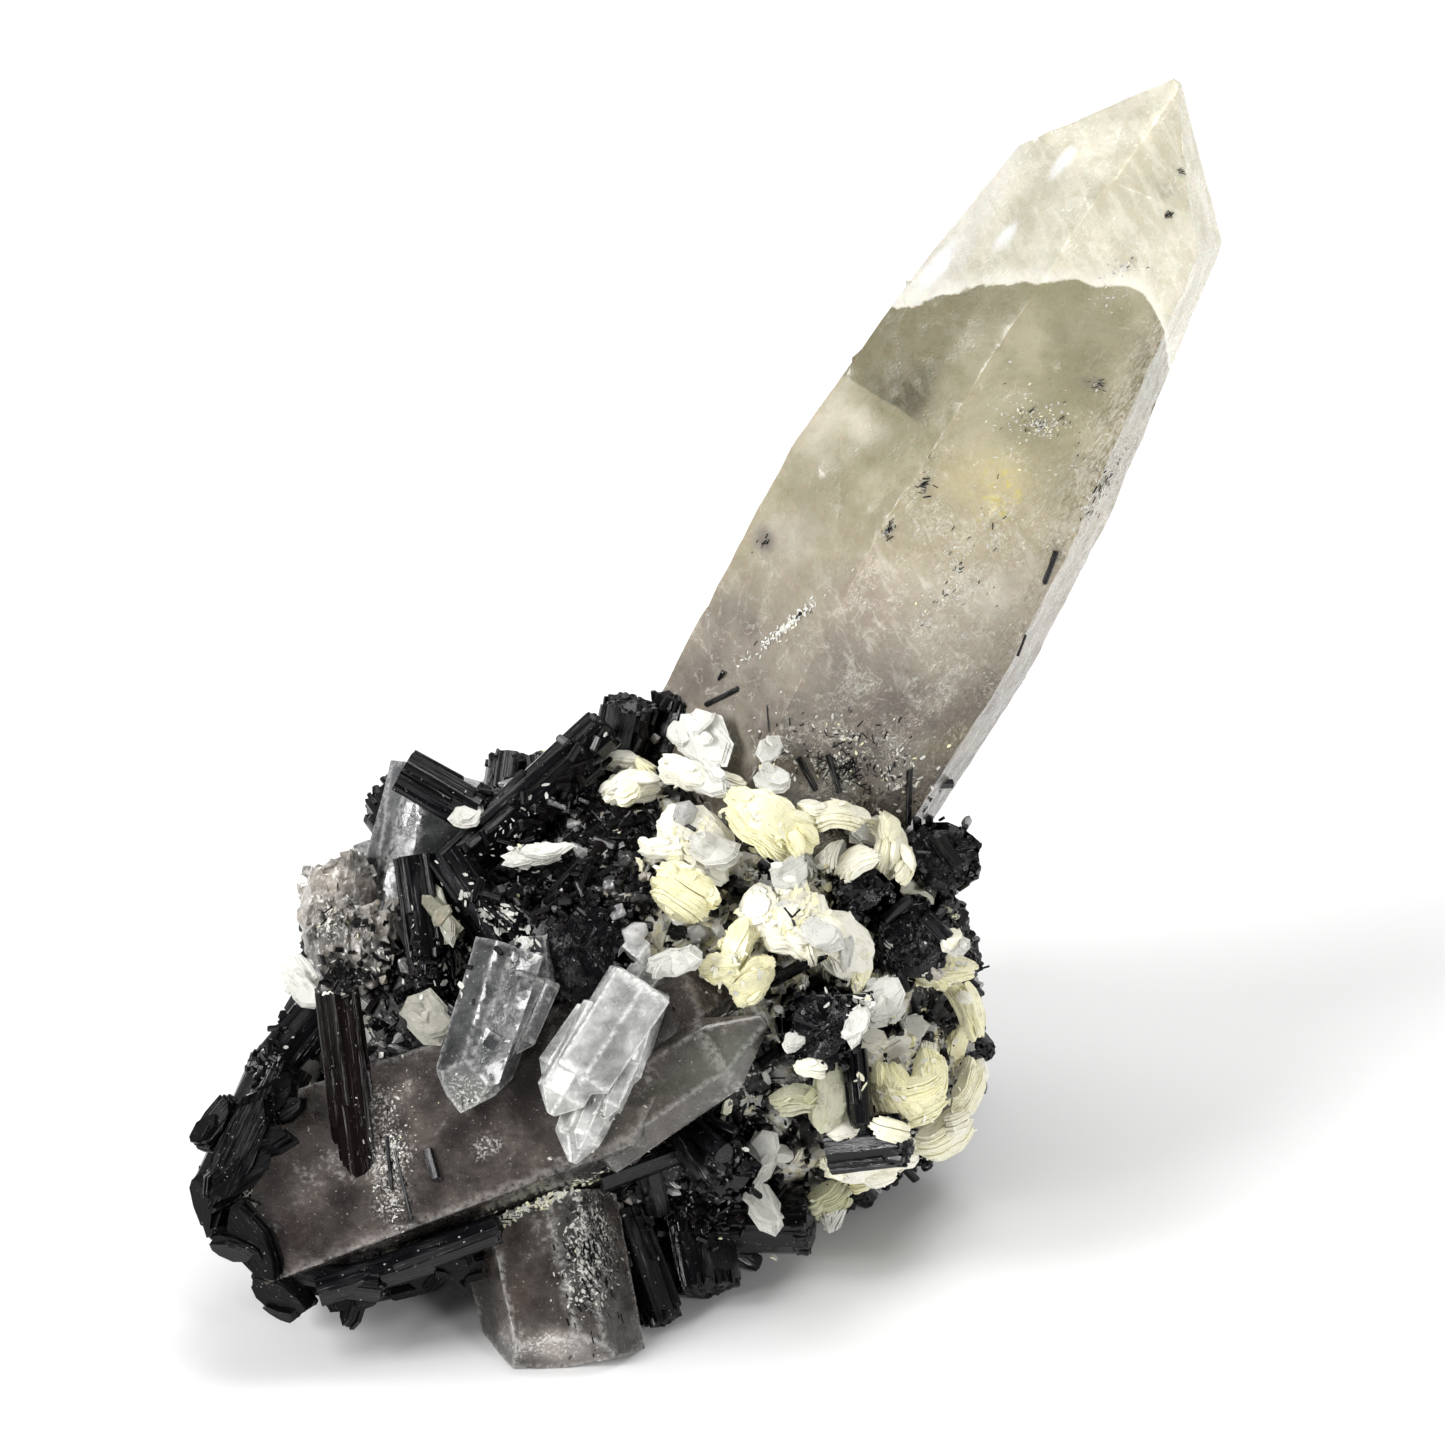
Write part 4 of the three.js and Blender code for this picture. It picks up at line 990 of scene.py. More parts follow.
# Each prism: its foot, the way it grows, its turn, half width, length and how high its end stands.
schorlNodes = {
    "schorl_base": [((-8.4, 9.8, -4), (-0.96, -0.22, 0.02), 0, 2.7, 14)],
    "schorl_bottom_stub": [((1.8, 12.6, -6), (0.33, -0.94, 0.06), 0, 1.8, 9.4)],
    "schorl_bottom_cluster": [
        ((6.6, 16, -9.5), (0.18, -0.96, 0.16), 20, 3.2, 10), ((7.6, 11.6, -9), (0.97, -0.02, 0.14), 50, 3, 9),
        ((9.4, 19, -8), (0.1, -0.35, 0.93), 10, 2.8, 9),
    ],
    "schorl_centre": [
        ((17.2, 27.6, -9), (0.02, -0.03, 1), 15, 3.7, 13.5, 0.1),
        ((17.6, 29.4, 2.2), (0.98, 0.02, 0.2), 5, 0.8, 4.2),
    ],
    "schorl_right_low": [
        ((20.3, 25.6, 0.4), (0.1, -0.98, 0.12), 0, 1.1, 6), ((18.6, 17.6, -2.2), (0.93, 0.12, 0.33), 15, 2.3, 6),
    ],
    "schorl_right_high": [
        ((24, 38.5, -15), (0.32, 0.22, 0.92), 20, 3.6, 11.5, 0.15),
        ((23.4, 35, -14), (0.16, -0.05, 0.98), 45, 3.7, 12, 0.1),
        ((20.6, 37.6, -10), (0.05, 0.08, 1), 5, 2.6, 9.5, 0.2),
    ],
    "schorl_long_blade": [((-11.8, 40, -6.5), (0.73, 0.68, 0.04), 30, 2.2, 16.4)],
    "schorl_upper_end": [((-15.9, 48, -6.6), (0.86, -0.5, 0.05), 10, 2, 6.8)],
    "schorl_top_crown": [
        ((1, 46.2, -11), (0.2, 0.93, 0.3), 15, 2.6, 7.4), ((4.4, 46.5, -11.6), (0.25, 0.95, 0.15), 40, 2.2, 7.4),
    ],
    "schorl_upright": [((-21.0, 30.4, 2.0), (0.12, -0.99, -0.05), 50, 1.9, 15.6)],
    "schorl_left_blade": [((-15, 41, -3.6), (0.15, -0.98, 0.12), 10, 1.8, 11)],
    "schorl_slanted_pair": [
        ((-12.6, 41, -3.6), (0.56, -0.82, 0.12), 20, 2.1, 10.4),
        ((-8.8, 37.8, -0.6), (0.76, -0.62, 0.14), 40, 1.2, 6.6),
    ],
    "schorl_block": [((-0.4, 33.4, -10), (-0.1, 0.02, 1), 28, 4.8, 12.4, 0.06)],
    "schorl_left_end": [
        ((-22.6, 28.6, -9), (-0.6, -0.76, 0.24), 15, 2.2, 7.4),
        ((-25.6, 24.4, -6), (-0.42, -0.9, 0.1), 35, 2.7, 11.4),
    ],
    "back_schorl_high": [
        ((-12, 38, -24), (-0.45, 0.62, -0.64), 10, 3, 12), ((-9, 40, -25), (0.1, 0.75, -0.65), 30, 2.2, 11),
    ],
    "back_schorl_right": [
        ((20, 30, -28), (0.8, 0.25, -0.55), 25, 3.2, 12), ((18, 25, -30), (0.88, -0.05, -0.46), 5, 2.3, 12),
    ],
    "back_schorl_low": [
        ((-14, 26, -30), (-0.62, 0.28, -0.73), 15, 3.4, 12), ((0, 30, -36), (0.12, 0.35, -0.93), 20, 3, 12),
    ],
}
brownShare = {"schorl_base": 0.4, "schorl_upright": 1}  # these are dull and brownish
sidePrisms = {"count": 9, "radius": (0.12, 0.32), "length": (0.35, 0.99)}
endCrust = {"perSquare": 5, "radius": (0.12, 0.42), "length": (0.6, 1.3)}


def makeSchorl(node, bundle, draw):
    copies, brown = [], brownShare.get(node, 0)
    for at, along, spin, radius, length, *given in bundle:
        end = given[0] if given else 0.25
        turn, axis = turnTo(along, spin), np.array(along) / np.linalg.norm(along)
        shape = draw.choice(prisms)
        copies.append(copyOf(shape, prismPoints(shape, radius, length, end), at, along, spin, 0, brown))
        for i in range(sidePrisms["count"]):  # thinner prisms grown against the sides
            way = roundWay(draw.uniform(0, math.tau))
            thin = radius * draw.uniform(*sidePrisms["radius"])
            foot = np.array(at) + turn @ ((radius * 0.93 - thin * 0.75) * way)
            shape = draw.choice(prisms)
            local = prismPoints(shape, thin, length * draw.uniform(*sidePrisms["length"]), 0.4)
            lean = axis + turn @ way * draw.uniform(-0.02, 0.03)
            copies.append(copyOf(shape, local, foot, lean, draw.uniform(0, 360), i, brown))
        for i in range(int(radius * radius * endCrust["perSquare"])):  # the end is a crust of short prisms
            way, reach = roundWay(draw.uniform(0, math.tau)), 0.88 * radius * math.sqrt(draw.random())
            thin, tall = draw.uniform(*endCrust["radius"]), draw.uniform(*endCrust["length"])
            low = length + end * (radius - reach) * 0.8 - tall + draw.uniform(0.02, 0.3)
            foot = np.array(at) + turn @ (way * reach + np.array((0, 0, low)))
            lean = axis + np.array(shaken(draw, 0.22))
            local = smallPrismPoints(thin, tall)
            copies.append(copyOf(smallPrism, local, foot, lean, draw.uniform(0, 120), i))
    finish = "dull_schorl" if brown else "schorl"
    joinCopies(node + "_prisms", copies, "schorl", smooth=18, replaced=[node], finish=finish)


draw = random.Random(11)
for node, bundle in schorlNodes.items():
    makeSchorl(node, bundle, draw)
print("schorl prisms made")


# Mica: each book is a stack of thin bent leaves, no two with the same edge.
# Each node: its slot, how deep its colour is, and its books, which are place, the way they face, turn,
# length, width, thickness and bend.
micaNodes = {
    "mica_upper_left": ("cream_mica", 0.3, [((2.2, 46.8, -5.4), (-0.25, 0.75, 0.6), 10, 4.4, 3, 1.8, 70)]),
    "mica_white_crown": ("white_mica", 0.1, [
        ((8.1, 50.6, -4), (-0.2, 0.3, 0.93), -40, 6, 4.4, 1.3, 25),
        ((8.4, 47.2, -3.2), (-0.1, 0.6, 0.8), -30, 5.4, 2.8, 1.6, 50),
    ]),
    "mica_white_ledge": ("white_mica", 0.2, [
        ((13.9, 47.2, -0.6), (0.2, 0.5, 0.84), -15, 3.8, 3, 1.4, 50),
        ((13.5, 49.6, -0.7), (0.4, 0.4, 0.8), 60, 3.4, 1.9, 1.3, 40),
    ]),
    "mica_great_book": ("cream_mica", 0.7, [((13.8, 43.8, 1.6), (0.38, 0.52, 0.76), -38, 7.4, 4.4, 2.6, 85)]),
    "mica_arch": ("cream_mica", 0.5, [((18.9, 44.6, -0.2), (0, 0.88, 0.48), 4, 5.2, 2.6, 1.5, 120)]),
    "mica_right_arch": ("cream_mica", 0.5, [((23.4, 41.8, -2.6), (0.82, 0.3, 0.48), 80, 6.8, 2.6, 1.6, 130)]),
    "mica_round": ("white_mica", 0.5, [((15.6, 39.6, 3.2), (0.3, 0.05, 0.95), 40, 3.9, 3.8, 1.5, 35)]),
    "mica_fan": ("cream_mica", 0.2, [
        ((7.8, 42.2, -1.2), (0.15, 0.25, 0.95), -42, 6.8, 4.6, 2.2, 45),
        ((4.9, 41.8, -0.4), (-0.2, 0.75, 0.62), -18, 3.8, 1.8, 1, 30),
    ]),
    "mica_yellow_book": ("cream_mica", 0.9, [((6.7, 38.3, 2), (0.12, 0.35, 0.93), -28, 5, 3.9, 2.6, 65)]),
    "mica_central_mass": ("cream_mica", 0.15, [
        ((12.7, 36.6, 1.2), (-0.25, 0.3, 0.92), 80, 3.8, 3.4, 2.2, 50),
        ((16, 35.8, 1.8), (0.15, 0.3, 0.94), -20, 6, 5, 2.4, 40),
        ((19.4, 33.9, 0.2), (0.42, 0.05, 0.9), -42, 5.8, 4.2, 1.6, 25),
    ]),
    "mica_yellow_lobes": ("cream_mica", 0.8, [
        ((11, 34, 2), (-0.3, 0.2, 0.93), 75, 4.4, 2.2, 2, 70),
        ((9.7, 32.2, 2.8), (-0.35, 0.45, 0.82), -15, 3.2, 2.2, 1.6, 70),
        ((12.2, 31.2, 2.4), (0.3, -0.35, 0.88), 35, 3.9, 2.8, 2, 80),
    ]),
    "mica_upright_blade": ("cream_mica", 0.6, [((20.9, 32.2, -0.6), (0.55, 0.15, 0.82), 68, 5.2, 2, 1.3, 25)]),
    "mica_right_ledge": ("cream_mica", 0.7, [
        ((27.3, 32.2, -5.8), (0.1, 0.7, 0.7), 0, 5.6, 2.4, 1.8, 22),
        ((29.8, 28.6, -8.6), (0.8, 0.3, 0.5), -60, 4.8, 2.6, 1.5, 50),
    ]),
    "mica_golden_rosette": ("cream_mica", 1.0, [
        ((23.6, 21.9, -1.4), (-0.35, -0.1, 0.93), -55, 5.4, 3.2, 2.2, 60),
        ((25.4, 21.6, -1.2), (0.15, -0.45, 0.88), 10, 4.6, 3.6, 2.4, 60),
        ((26.4, 23.2, -2.2), (0.55, 0.2, 0.8), 70, 4.8, 2.8, 2, 60),
    ]),
    "mica_green_pair": ("cream_mica", 0.4, [
        ((18.6, 21.9, 0.4), (0.3, -0.1, 0.95), 78, 5.4, 3.2, 1.6, 35),
        ((15.8, 21.8, 1), (-0.05, 0.75, 0.65), 5, 4.2, 2, 1.5, 70),
    ]),
    "mica_right_rim": ("cream_mica", 0.5, [
        ((29.8, 22, -10.4), (0.75, -0.1, 0.65), 55, 4.8, 2.4, 1.5, 40),
        ((27.8, 18.4, -10), (0.4, -0.5, 0.76), 25, 5, 3.2, 2, 45),
    ]),
    "mica_cup": ("cream_mica", 0.1, [((21.6, 15.9, -4.2), (0.15, -0.82, 0.55), 12, 7.6, 3, 1.3, 85)]),
    "mica_low_crescent": ("cream_mica", 0.6, [((18.2, 13.1, -8), (0.35, -0.6, 0.7), 25, 3.9, 2.8, 1.7, 60)]),
    "mica_low_white": ("white_mica", 0.3, [
        ((12.8, 16.1, -3), (-0.35, 0.3, 0.88), 48, 5.2, 2.6, 1.5, 40),
        ((13.2, 12.6, -4.4), (0.05, 0.3, 0.95), -60, 4.8, 2.6, 1.1, 30),
    ]),
    "mica_left": ("white_mica", 0.4, [((-24.2, 31.4, -5.8), (-0.3, 0.2, 0.93), -50, 4.4, 3, 1.6, 45)]),
    "mica_between_blades": ("cream_mica", 0.8, [((-12.7, 36.4, -1.6), (-0.3, 0.25, 0.92), -58, 6.4, 1.5, 1.3, 40)]),
    "mica_left_plates": ("cream_mica", 0.2, [((-13.8, 28.2, 1.4), (0.05, 0.1, 0.99), -52, 5.2, 3.4, 1.2, 25)]),
    "mica_white_blade": ("white_mica", 0.2, [((-5.8, 41, -2.6), (-0.1, 0.5, 0.86), 8, 5.2, 2, 1.1, 30)]),
    "mica_white_cradle": ("white_mica", 0.2, [((5.9, 32.6, 4.6), (0.1, -0.45, 0.88), 12, 5.4, 2.2, 1.1, 70)]),
    "mica_white_plate": ("white_mica", 0.0, [((-26.2, 21.2, -1.4), (0.1, 0.05, 0.99), 46, 4.4, 2.6, 0.9, 12)]),
    "mica_white_tuft": ("white_mica", 0.1, [((22.6, 29, -1), (0.25, 0.3, 0.92), 30, 5, 3.2, 1.3, 35)]),
    "back_mica_rosette": ("cream_mica", 0.5, [
        ((6, 43, -37.6), (0.1, 0.62, -0.78), 10, 6.4, 4.6, 2.2, 60),
        ((10, 41.6, -38), (0.5, 0.4, -0.76), 60, 5.4, 4, 2, 60),
    ]),
    "back_mica_left": ("cream_mica", 0.3, [((-17, 37, -29.4), (-0.7, 0.35, -0.62), 30, 6, 4.4, 2.2, 55)]),
}
leafStep = 0.17
# Books that show the edges of their leaves, stacked across the book's width.
edgeOn = {"mica_yellow_book", "mica_golden_rosette", "mica_low_crescent", "mica_right_rim"}
madeLike = {
    "mica_green_pair": "green_mica", "mica_low_crescent": "green_mica", "mica_between_blades": "grey_mica",
    "mica_left_plates": "grey_mica",
}
plated = {"mica_left_plates", "mica_upright_blade", "mica_between_blades"}


def leafPoints(shape, length, width, seed):
    # A leaf's outline, flat and centred, from z = 0 to 1. Leaves with nearby seeds have nearly the same edge.
    points = shape.points.copy()
    for i, (u, v, _) in enumerate(shape.points):
        for axis, broad, fray, more in ((0, (1.5, 3), (3, 13), 0), (1, (3, 1.5), (15, 3), 7)):
            wide = 0.34 * noise.noise(Vector((u * broad[0], v * broad[1], seed + more)))
            points[i, axis] *= 1 + wide + 0.09 * noise.noise(Vector((u * fray[0], v * fray[1], seed * 4 + more)))
    return points * np.array((length, width, 1))


def bentOver(x, y, z, curveRadius):
    angle, reach = x / curveRadius, curveRadius + z
    return np.stack([reach * np.sin(angle), y, reach * np.cos(angle) - curveRadius], 1)


def makeBook(book, tint, stackedAcross, draw, small=False):
    # A bent stack of leaves that follow each other closely, with a short or split one here and there.
    at, faces, spin, length, width, thickness, bend = book
    faces, curveRadius = Vector(faces).normalized(), length / math.radians(bend)
    across = width if stackedAcross else thickness
    count = max(3, round(across / leafStep))
    step, seed = across / count, draw.uniform(0, 90)
    splay = Vector(shaken(draw, 1)).normalized() * draw.uniform(0.03, 0.12)
    fan = draw.uniform(-9, 9)
    phase, waves = draw.uniform(0, 6), draw.uniform(0.7, 1.3)
    shape = smallLeaf if small else edgeLeaf if stackedAcross else broadLeaf
    copies = []
    for i in range(count):
        share = (i + 0.5) / count * 2 - 1
        seed += draw.uniform(0.05, 0.30)
        size = draw.uniform(0.8, 0.92) if draw.random() < 0.16 else draw.uniform(0.95, 1.02)
        thick = step * draw.uniform(1.05, 1.3)
        lift = share * across / 2
        if stackedAcross:
            size *= math.sqrt(1 - 0.6 * share * share)
            wide = thickness * (draw.uniform(0.97, 1.03) - 0.35 * share * share)
            flat = leafPoints(shape, length * size, wide, seed)
            wave = 0.05 * across * np.sin(flat[:, 0] * waves + phase)
            x, y, z = flat[:, 0], lift + (flat[:, 2] - 0.5) * thick + wave, flat[:, 1]
            grain = np.stack([x, z, y], 1)
        else:
            size *= 1 - 0.22 * max(0, share) ** 2
            broken = max(0, share - 0.2)  # the upper leaves are broken back in steps
            long = length * size * (1 - broken * draw.uniform(0, 0.6))
            flat = leafPoints(shape, long, width * size * (1 - broken * draw.uniform(0, 0.7)), seed)
            flat[:, :2] += np.array((draw.gauss(0, 0.12) * length, draw.gauss(0, 0.12) * width)) * broken
            wave = 0.03 * length * np.sin(flat[:, 0] * waves + phase) * np.cos(flat[:, 1] * waves * 0.8)
            x, y, z = flat[:, 0], flat[:, 1], lift + (flat[:, 2] - 0.5) * thick + wave
            grain = np.stack([x, y, z], 1)
        facing = faces + splay * share + Vector(shaken(draw, 0.008))
        spot, turned = np.array(at) + np.array(shaken(draw, 0.035)), spin + fan * share + draw.gauss(0, 0.7)
        leaf = placed(bentOver(x, y, z, curveRadius), spot, facing, turned)
        copies.append((shape, leaf, grain + np.array((0, 0, i * 3.1)), unit(tint + draw.gauss(0, 0.05))))
    for _ in range(int(length * across * (1.2 if small else 2.4))):  # frayed slivers along the leaves' edges
        leaf = draw.choice(copies[:count])[1]
        sliver, size = draw.choice(shards), draw.uniform(0.12, 0.42)
        local = sliver.points * size * np.array((1.3, draw.uniform(0.35, 0.8), 0.5))
        lean = faces + Vector(shaken(draw, 0.4))
        spot, turned = leaf[draw.randrange(len(leaf))], draw.uniform(0, 360)
        copies.append(copyOf(sliver, local, spot, lean, turned, 0, tint * draw.random()))
    return copies


def makePlates(book, tint, draw):
    # Bright flat plates with straight broken edges: three large ones, and smaller ones tilted every way.
    at, faces, spin, length, width, thickness = book[:6]
    copies, face, turn = [], Vector(faces).normalized(), turnTo(faces, spin)
    for stack in range(round(3 + length * width / 6)):
        large = stack < 3
        long = length * (draw.uniform(0.72, 1.0) if large else draw.uniform(0.3, 0.5))
        wide = min(width, long * draw.uniform(0.6, 0.95))
        room = (length - long, width - wide, thickness * (0.6 if large else 1.0))
        spot = np.array(at) + turn @ np.array([draw.uniform(-0.5, 0.5) * span for span in room])
        facing = (face + Vector(shaken(draw, 0.13 if large else 0.3))).normalized()
        shape = draw.choice(plates)
        local = shape.points * np.array((long / 2, wide / 2, draw.uniform(0.16, 0.3)))
        turned = spin + draw.uniform(-14, 14) * (1 if large else 5)
        copies.append(copyOf(shape, local, spot, facing, turned, stack, tint))
    return copies


def addLobes(book, tint, draw):
    # Smaller lobes grown on a large book.
    at, faces, spin, length, width, thickness = book[:6]
    copies, turn = [], turnTo(faces, spin)
    for _ in range(draw.randint(2, 4)):
        angle = draw.uniform(0, math.tau)
        high = draw.uniform(-0.3, 0.45) * thickness
        out = np.array((math.cos(angle) * length * 0.4, math.sin(angle) * width * 0.42, high))
        facing = Vector(turn @ (out * np.array((0.10, 0.2, 0.4)) + np.array((0, 0, 1.1))))
        facing += Vector(shaken(draw, 0.25))
        long = length * draw.uniform(0.28, 0.5)
        turned, wide = spin + draw.uniform(-45, 45), long * draw.uniform(0.5, 0.8)
        thick = long * draw.uniform(0.3, 0.5)
        lobe = (np.array(at) + turn @ out, facing, turned, long, wide, thick, draw.uniform(30, 80))
        copies += makeBook(lobe, unit(tint + draw.gauss(0, 0.2)), draw.random() < 0.4, draw, small=True)
    return copies


draw = random.Random(23)
for node, (slotName, tint, books) in micaNodes.items():
    white, copies = slotName == "white_mica", []
    for book in books:
        if white or node in plated:
            copies += makePlates(book, tint, draw)
        else:
            copies += makeBook(book, tint, node in edgeOn, draw) + addLobes(book, tint, draw)
    finish = madeLike.get(node, slotName)
    joinCopies(node + "_leaves", copies, slotName, smooth=8 if white else 34, replaced=[node], finish=finish)
print("mica books made")


# The matrix: the solid's own form, roughened, and then overgrown with small crystals.
rockLook = {"cell": 0.6, "patterns": (("lumps", "VORONOI", 2.6, -1.3), ("roughness", "CLOUDS", 0.9, 0.7))}


def makeMatrix():
    piece = nodeCopy("matrix", "matrixRock")
    remesh = piece.modifiers.new("even faces", "REMESH")
    remesh.mode, remesh.voxel_size = "VOXEL", rockLook["cell"]
    for name, kind, size, strength in rockLook["patterns"]:
        pattern = bpy.data.textures.new(name, kind)
        pattern.noise_scale = size
        displace = piece.modifiers.new(name, "DISPLACE")
        displace.texture, displace.texture_coords, displace.strength = pattern, "LOCAL", strength
        displace.mid_level = 0.5
    applyModifiers(piece)
    return Shape(piece)


def micaShare(spot):
    # How much of the ground is mica: most on the right half of the face, in patches.
    front = unit((spot[2] + 18) / 10)
    border = 1 + 11 * unit((32 - spot[1]) / 7)
    right = unit((spot[0] - border) / 5) * unit((52 - spot[1]) / 4)
    return min(1, max(0.04, front * right * (0.62 + 1.1 * noise.noise(Vector(spot) * 0.26))))


matrixShape = makeMatrix()
copies = [(matrixShape, matrixShape.points, matrixShape.points, 0)]
rock = joinCopies("matrixRock", copies, "matrix", smooth=60, replaced=["matrix"])
markPoints(rock, "pale", [micaShare(spot) for spot in matrixShape.points])
print("matrix", len(matrixShape.sizes))


def treeOf(nodes):
    points, faces = [], []
    for node in nodes:
        solid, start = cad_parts[node].data, len(points)
        points += [faceInverse @ v.co for v in solid.vertices]
        faces += [[start + i for i in face.vertices] for face in solid.polygons]
    return BVHTree.FromPolygons(points, faces)


neighbours = treeOf([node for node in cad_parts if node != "matrix"])
matrixTree = treeOf(["matrix"])
wholeTree = treeOf(list(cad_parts))


offSurface = 0.02  # rays start this far off a surface
tiny, lowest = 1e-9, 0.0006  # no crystals on slivers of a solid, or this near the floor, in metres


def spotsOn(nodes, count, draw):
    # Spots spread evenly over some solids: (place, outward normal).
    corners = []
    for node in nodes:
        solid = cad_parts[node].data
        corners += [[faceInverse @ solid.vertices[i].co for i in face.vertices] for face in solid.polygons]
    areas = [(b - a).cross(c - a).length / 2 for a, b, c in corners]
    for a, b, c in draw.choices(corners, weights=areas, k=count):
        r, s = math.sqrt(draw.random()), draw.random()
        spot = a * (1 - r) + b * r * (1 - s) + c * r * s
        outward = (b - a).cross(c - a)
        if outward.length > tiny and (faceMatrix @ spot).z > lowest:
            yield spot, outward.normalized()


def openSpots(count, draw):
    # Spots on the matrix where no other crystal stands.
    return [
        (spot, outward) for spot, outward in spotsOn(["matrix"], count, draw)
        if not neighbours.ray_cast(spot + outward * offSurface, outward, 1.6)[0]
    ]


def seamSpots(nodes, count, reach, draw):
    # Spots on other crystals, most of them close to where they come out of the matrix.
    return [
        (spot, outward) for spot, outward in spotsOn(nodes, count, draw)
        if draw.random() < math.exp(-matrixTree.find_nearest(spot)[3] / reach)
        and not wholeTree.ray_cast(spot + outward * offSurface, outward, 0.7)[0]
    ]


micaList = list(micaNodes)
micaTree = treeOf(micaList)
longPoint = "smoky_quartz_point"
cleanNodes = [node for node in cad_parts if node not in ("matrix", longPoint)]
# Tries on the matrix, and seams: other crystals, tries on them, and how far up from the matrix they reach.
scatter = {
    "smallSchorl": {
        "tries": 12000, "seams": [(cleanNodes, 5000, 0.9), ([longPoint], 4000, 1.8)],
        "radius": (0.1, 0.55), "length": (0.9, 3.6), "leaveOut": 20,
    },
    "grains": {"tries": 11000, "seams": [(cleanNodes + [longPoint], 8000, 0.8)], "size": (0.09, 0.34)},
    "shards": {"tries": 9000, "seams": [(cleanNodes, 7000, 1.0)], "size": (0.25, 0.8)},
    "middleSchorl": {"tries": 420, "seams": [], "radius": (0.5, 1.3)},
    "middleQuartz": {"tries": 260, "seams": [], "radius": (0.35, 0.9)},
    "smallBooks": {"tries": 900, "seams": [(micaList, 900, 1.2)], "length": (1.1, 3.0)},
}


def spotsFor(rule, draw):
    spots = openSpots(rule["tries"], draw)
    for nodes, count, reach in rule["seams"]:
        spots += seamSpots(nodes, count, reach, draw)
    return spots


def randomTilt(outward, draw, share):
    lean = Vector(shaken(draw, 1)).normalized()
    return (outward * share + lean).normalized()


def growSmallSchorl():
    draw, rule, copies = random.Random(31), scatter["smallSchorl"], []
    for spot, outward in spotsFor(rule, draw):
        if draw.random() < micaShare(spot) * 0.85:
            continue
        along = randomTilt(outward, draw, 0.75)
        if along.dot(outward) < 0.05:
            along = (along - outward * along.dot(outward) * 2 + outward * 0.1).normalized()
        low, high = rule["radius"]
        radius = low + (high - low) * draw.random() ** 2.2
        shortest, longest = rule["length"]
        length = min(max(radius * draw.uniform(2.5, 7), shortest), longest)
        reach = length * max(0.15, along.dot(outward))
        root = spot - along * max(0.3, (reach - draw.uniform(0.2, 0.9)) / max(0.3, along.dot(outward)))
        local, turned = smallPrismPoints(radius, length), draw.uniform(0, 120)
        copies.append(copyOf(smallPrism, local, root, along, turned, draw.uniform(0, 40), draw.random() ** 3))
    del copies[::rule["leaveOut"]]
    joinCopies("smallSchorl", copies, "schorl", smooth=0)


def growGrains():
    draw, rule, copies = random.Random(37), scatter["grains"], []
    for spot, outward in spotsFor(rule, draw):
        ground = micaShare(spot)
        if noise.noise(spot * 0.35) < draw.uniform(-0.5, 0.35) or (ground < 0.3 and draw.random() < 0.6):
            continue
        size = draw.uniform(*rule["size"])
        stretch = np.array([draw.uniform(0.7, 1.5) for _ in range(3)])
        shape = draw.choice(grains)
        local = shape.points * size * stretch
        root, lean = spot + outward * draw.uniform(-0.2, 0.25), randomTilt(outward, draw, 0.2)
        turned, tint = draw.uniform(0, 360), draw.uniform(0.55 if ground < 0.3 else 0, 1)
        copies.append(copyOf(shape, local, root, lean, turned, 0, tint))
    joinCopies("quartzGrains", copies, "milky_quartz", smooth=0, finish="grains")


def growShards():
    draw, rule = random.Random(41), scatter["shards"]
    cream, white = [], []
    for spot, outward in spotsFor(rule, draw):
        if draw.random() > micaShare(spot) * 1.25:
            continue
        facing, spin, tint = randomTilt(outward, draw, 0.45), draw.uniform(0, 360), draw.random()
        size = draw.uniform(*rule["size"])
        group = cream if draw.random() < 0.35 else white
        for layer in range(draw.randint(1, 3)):  # a few leaves, one over the other
            shape = draw.choice(shards)
            local = shape.points * size * np.array((1.2, draw.uniform(0.45, 0.9), 0.6))
            root = spot + facing * (0.1 * layer + draw.uniform(-0.1, 0.1)) + outward * 0.12
            lean = facing + Vector(shaken(draw, 0.08))
            group.append(copyOf(shape, local, root, lean, spin + draw.gauss(0, 14), 0, tint))
    joinCopies("creamShards", cream, "cream_mica", smooth=0)
    joinCopies("whiteShards", white, "white_mica", smooth=0)


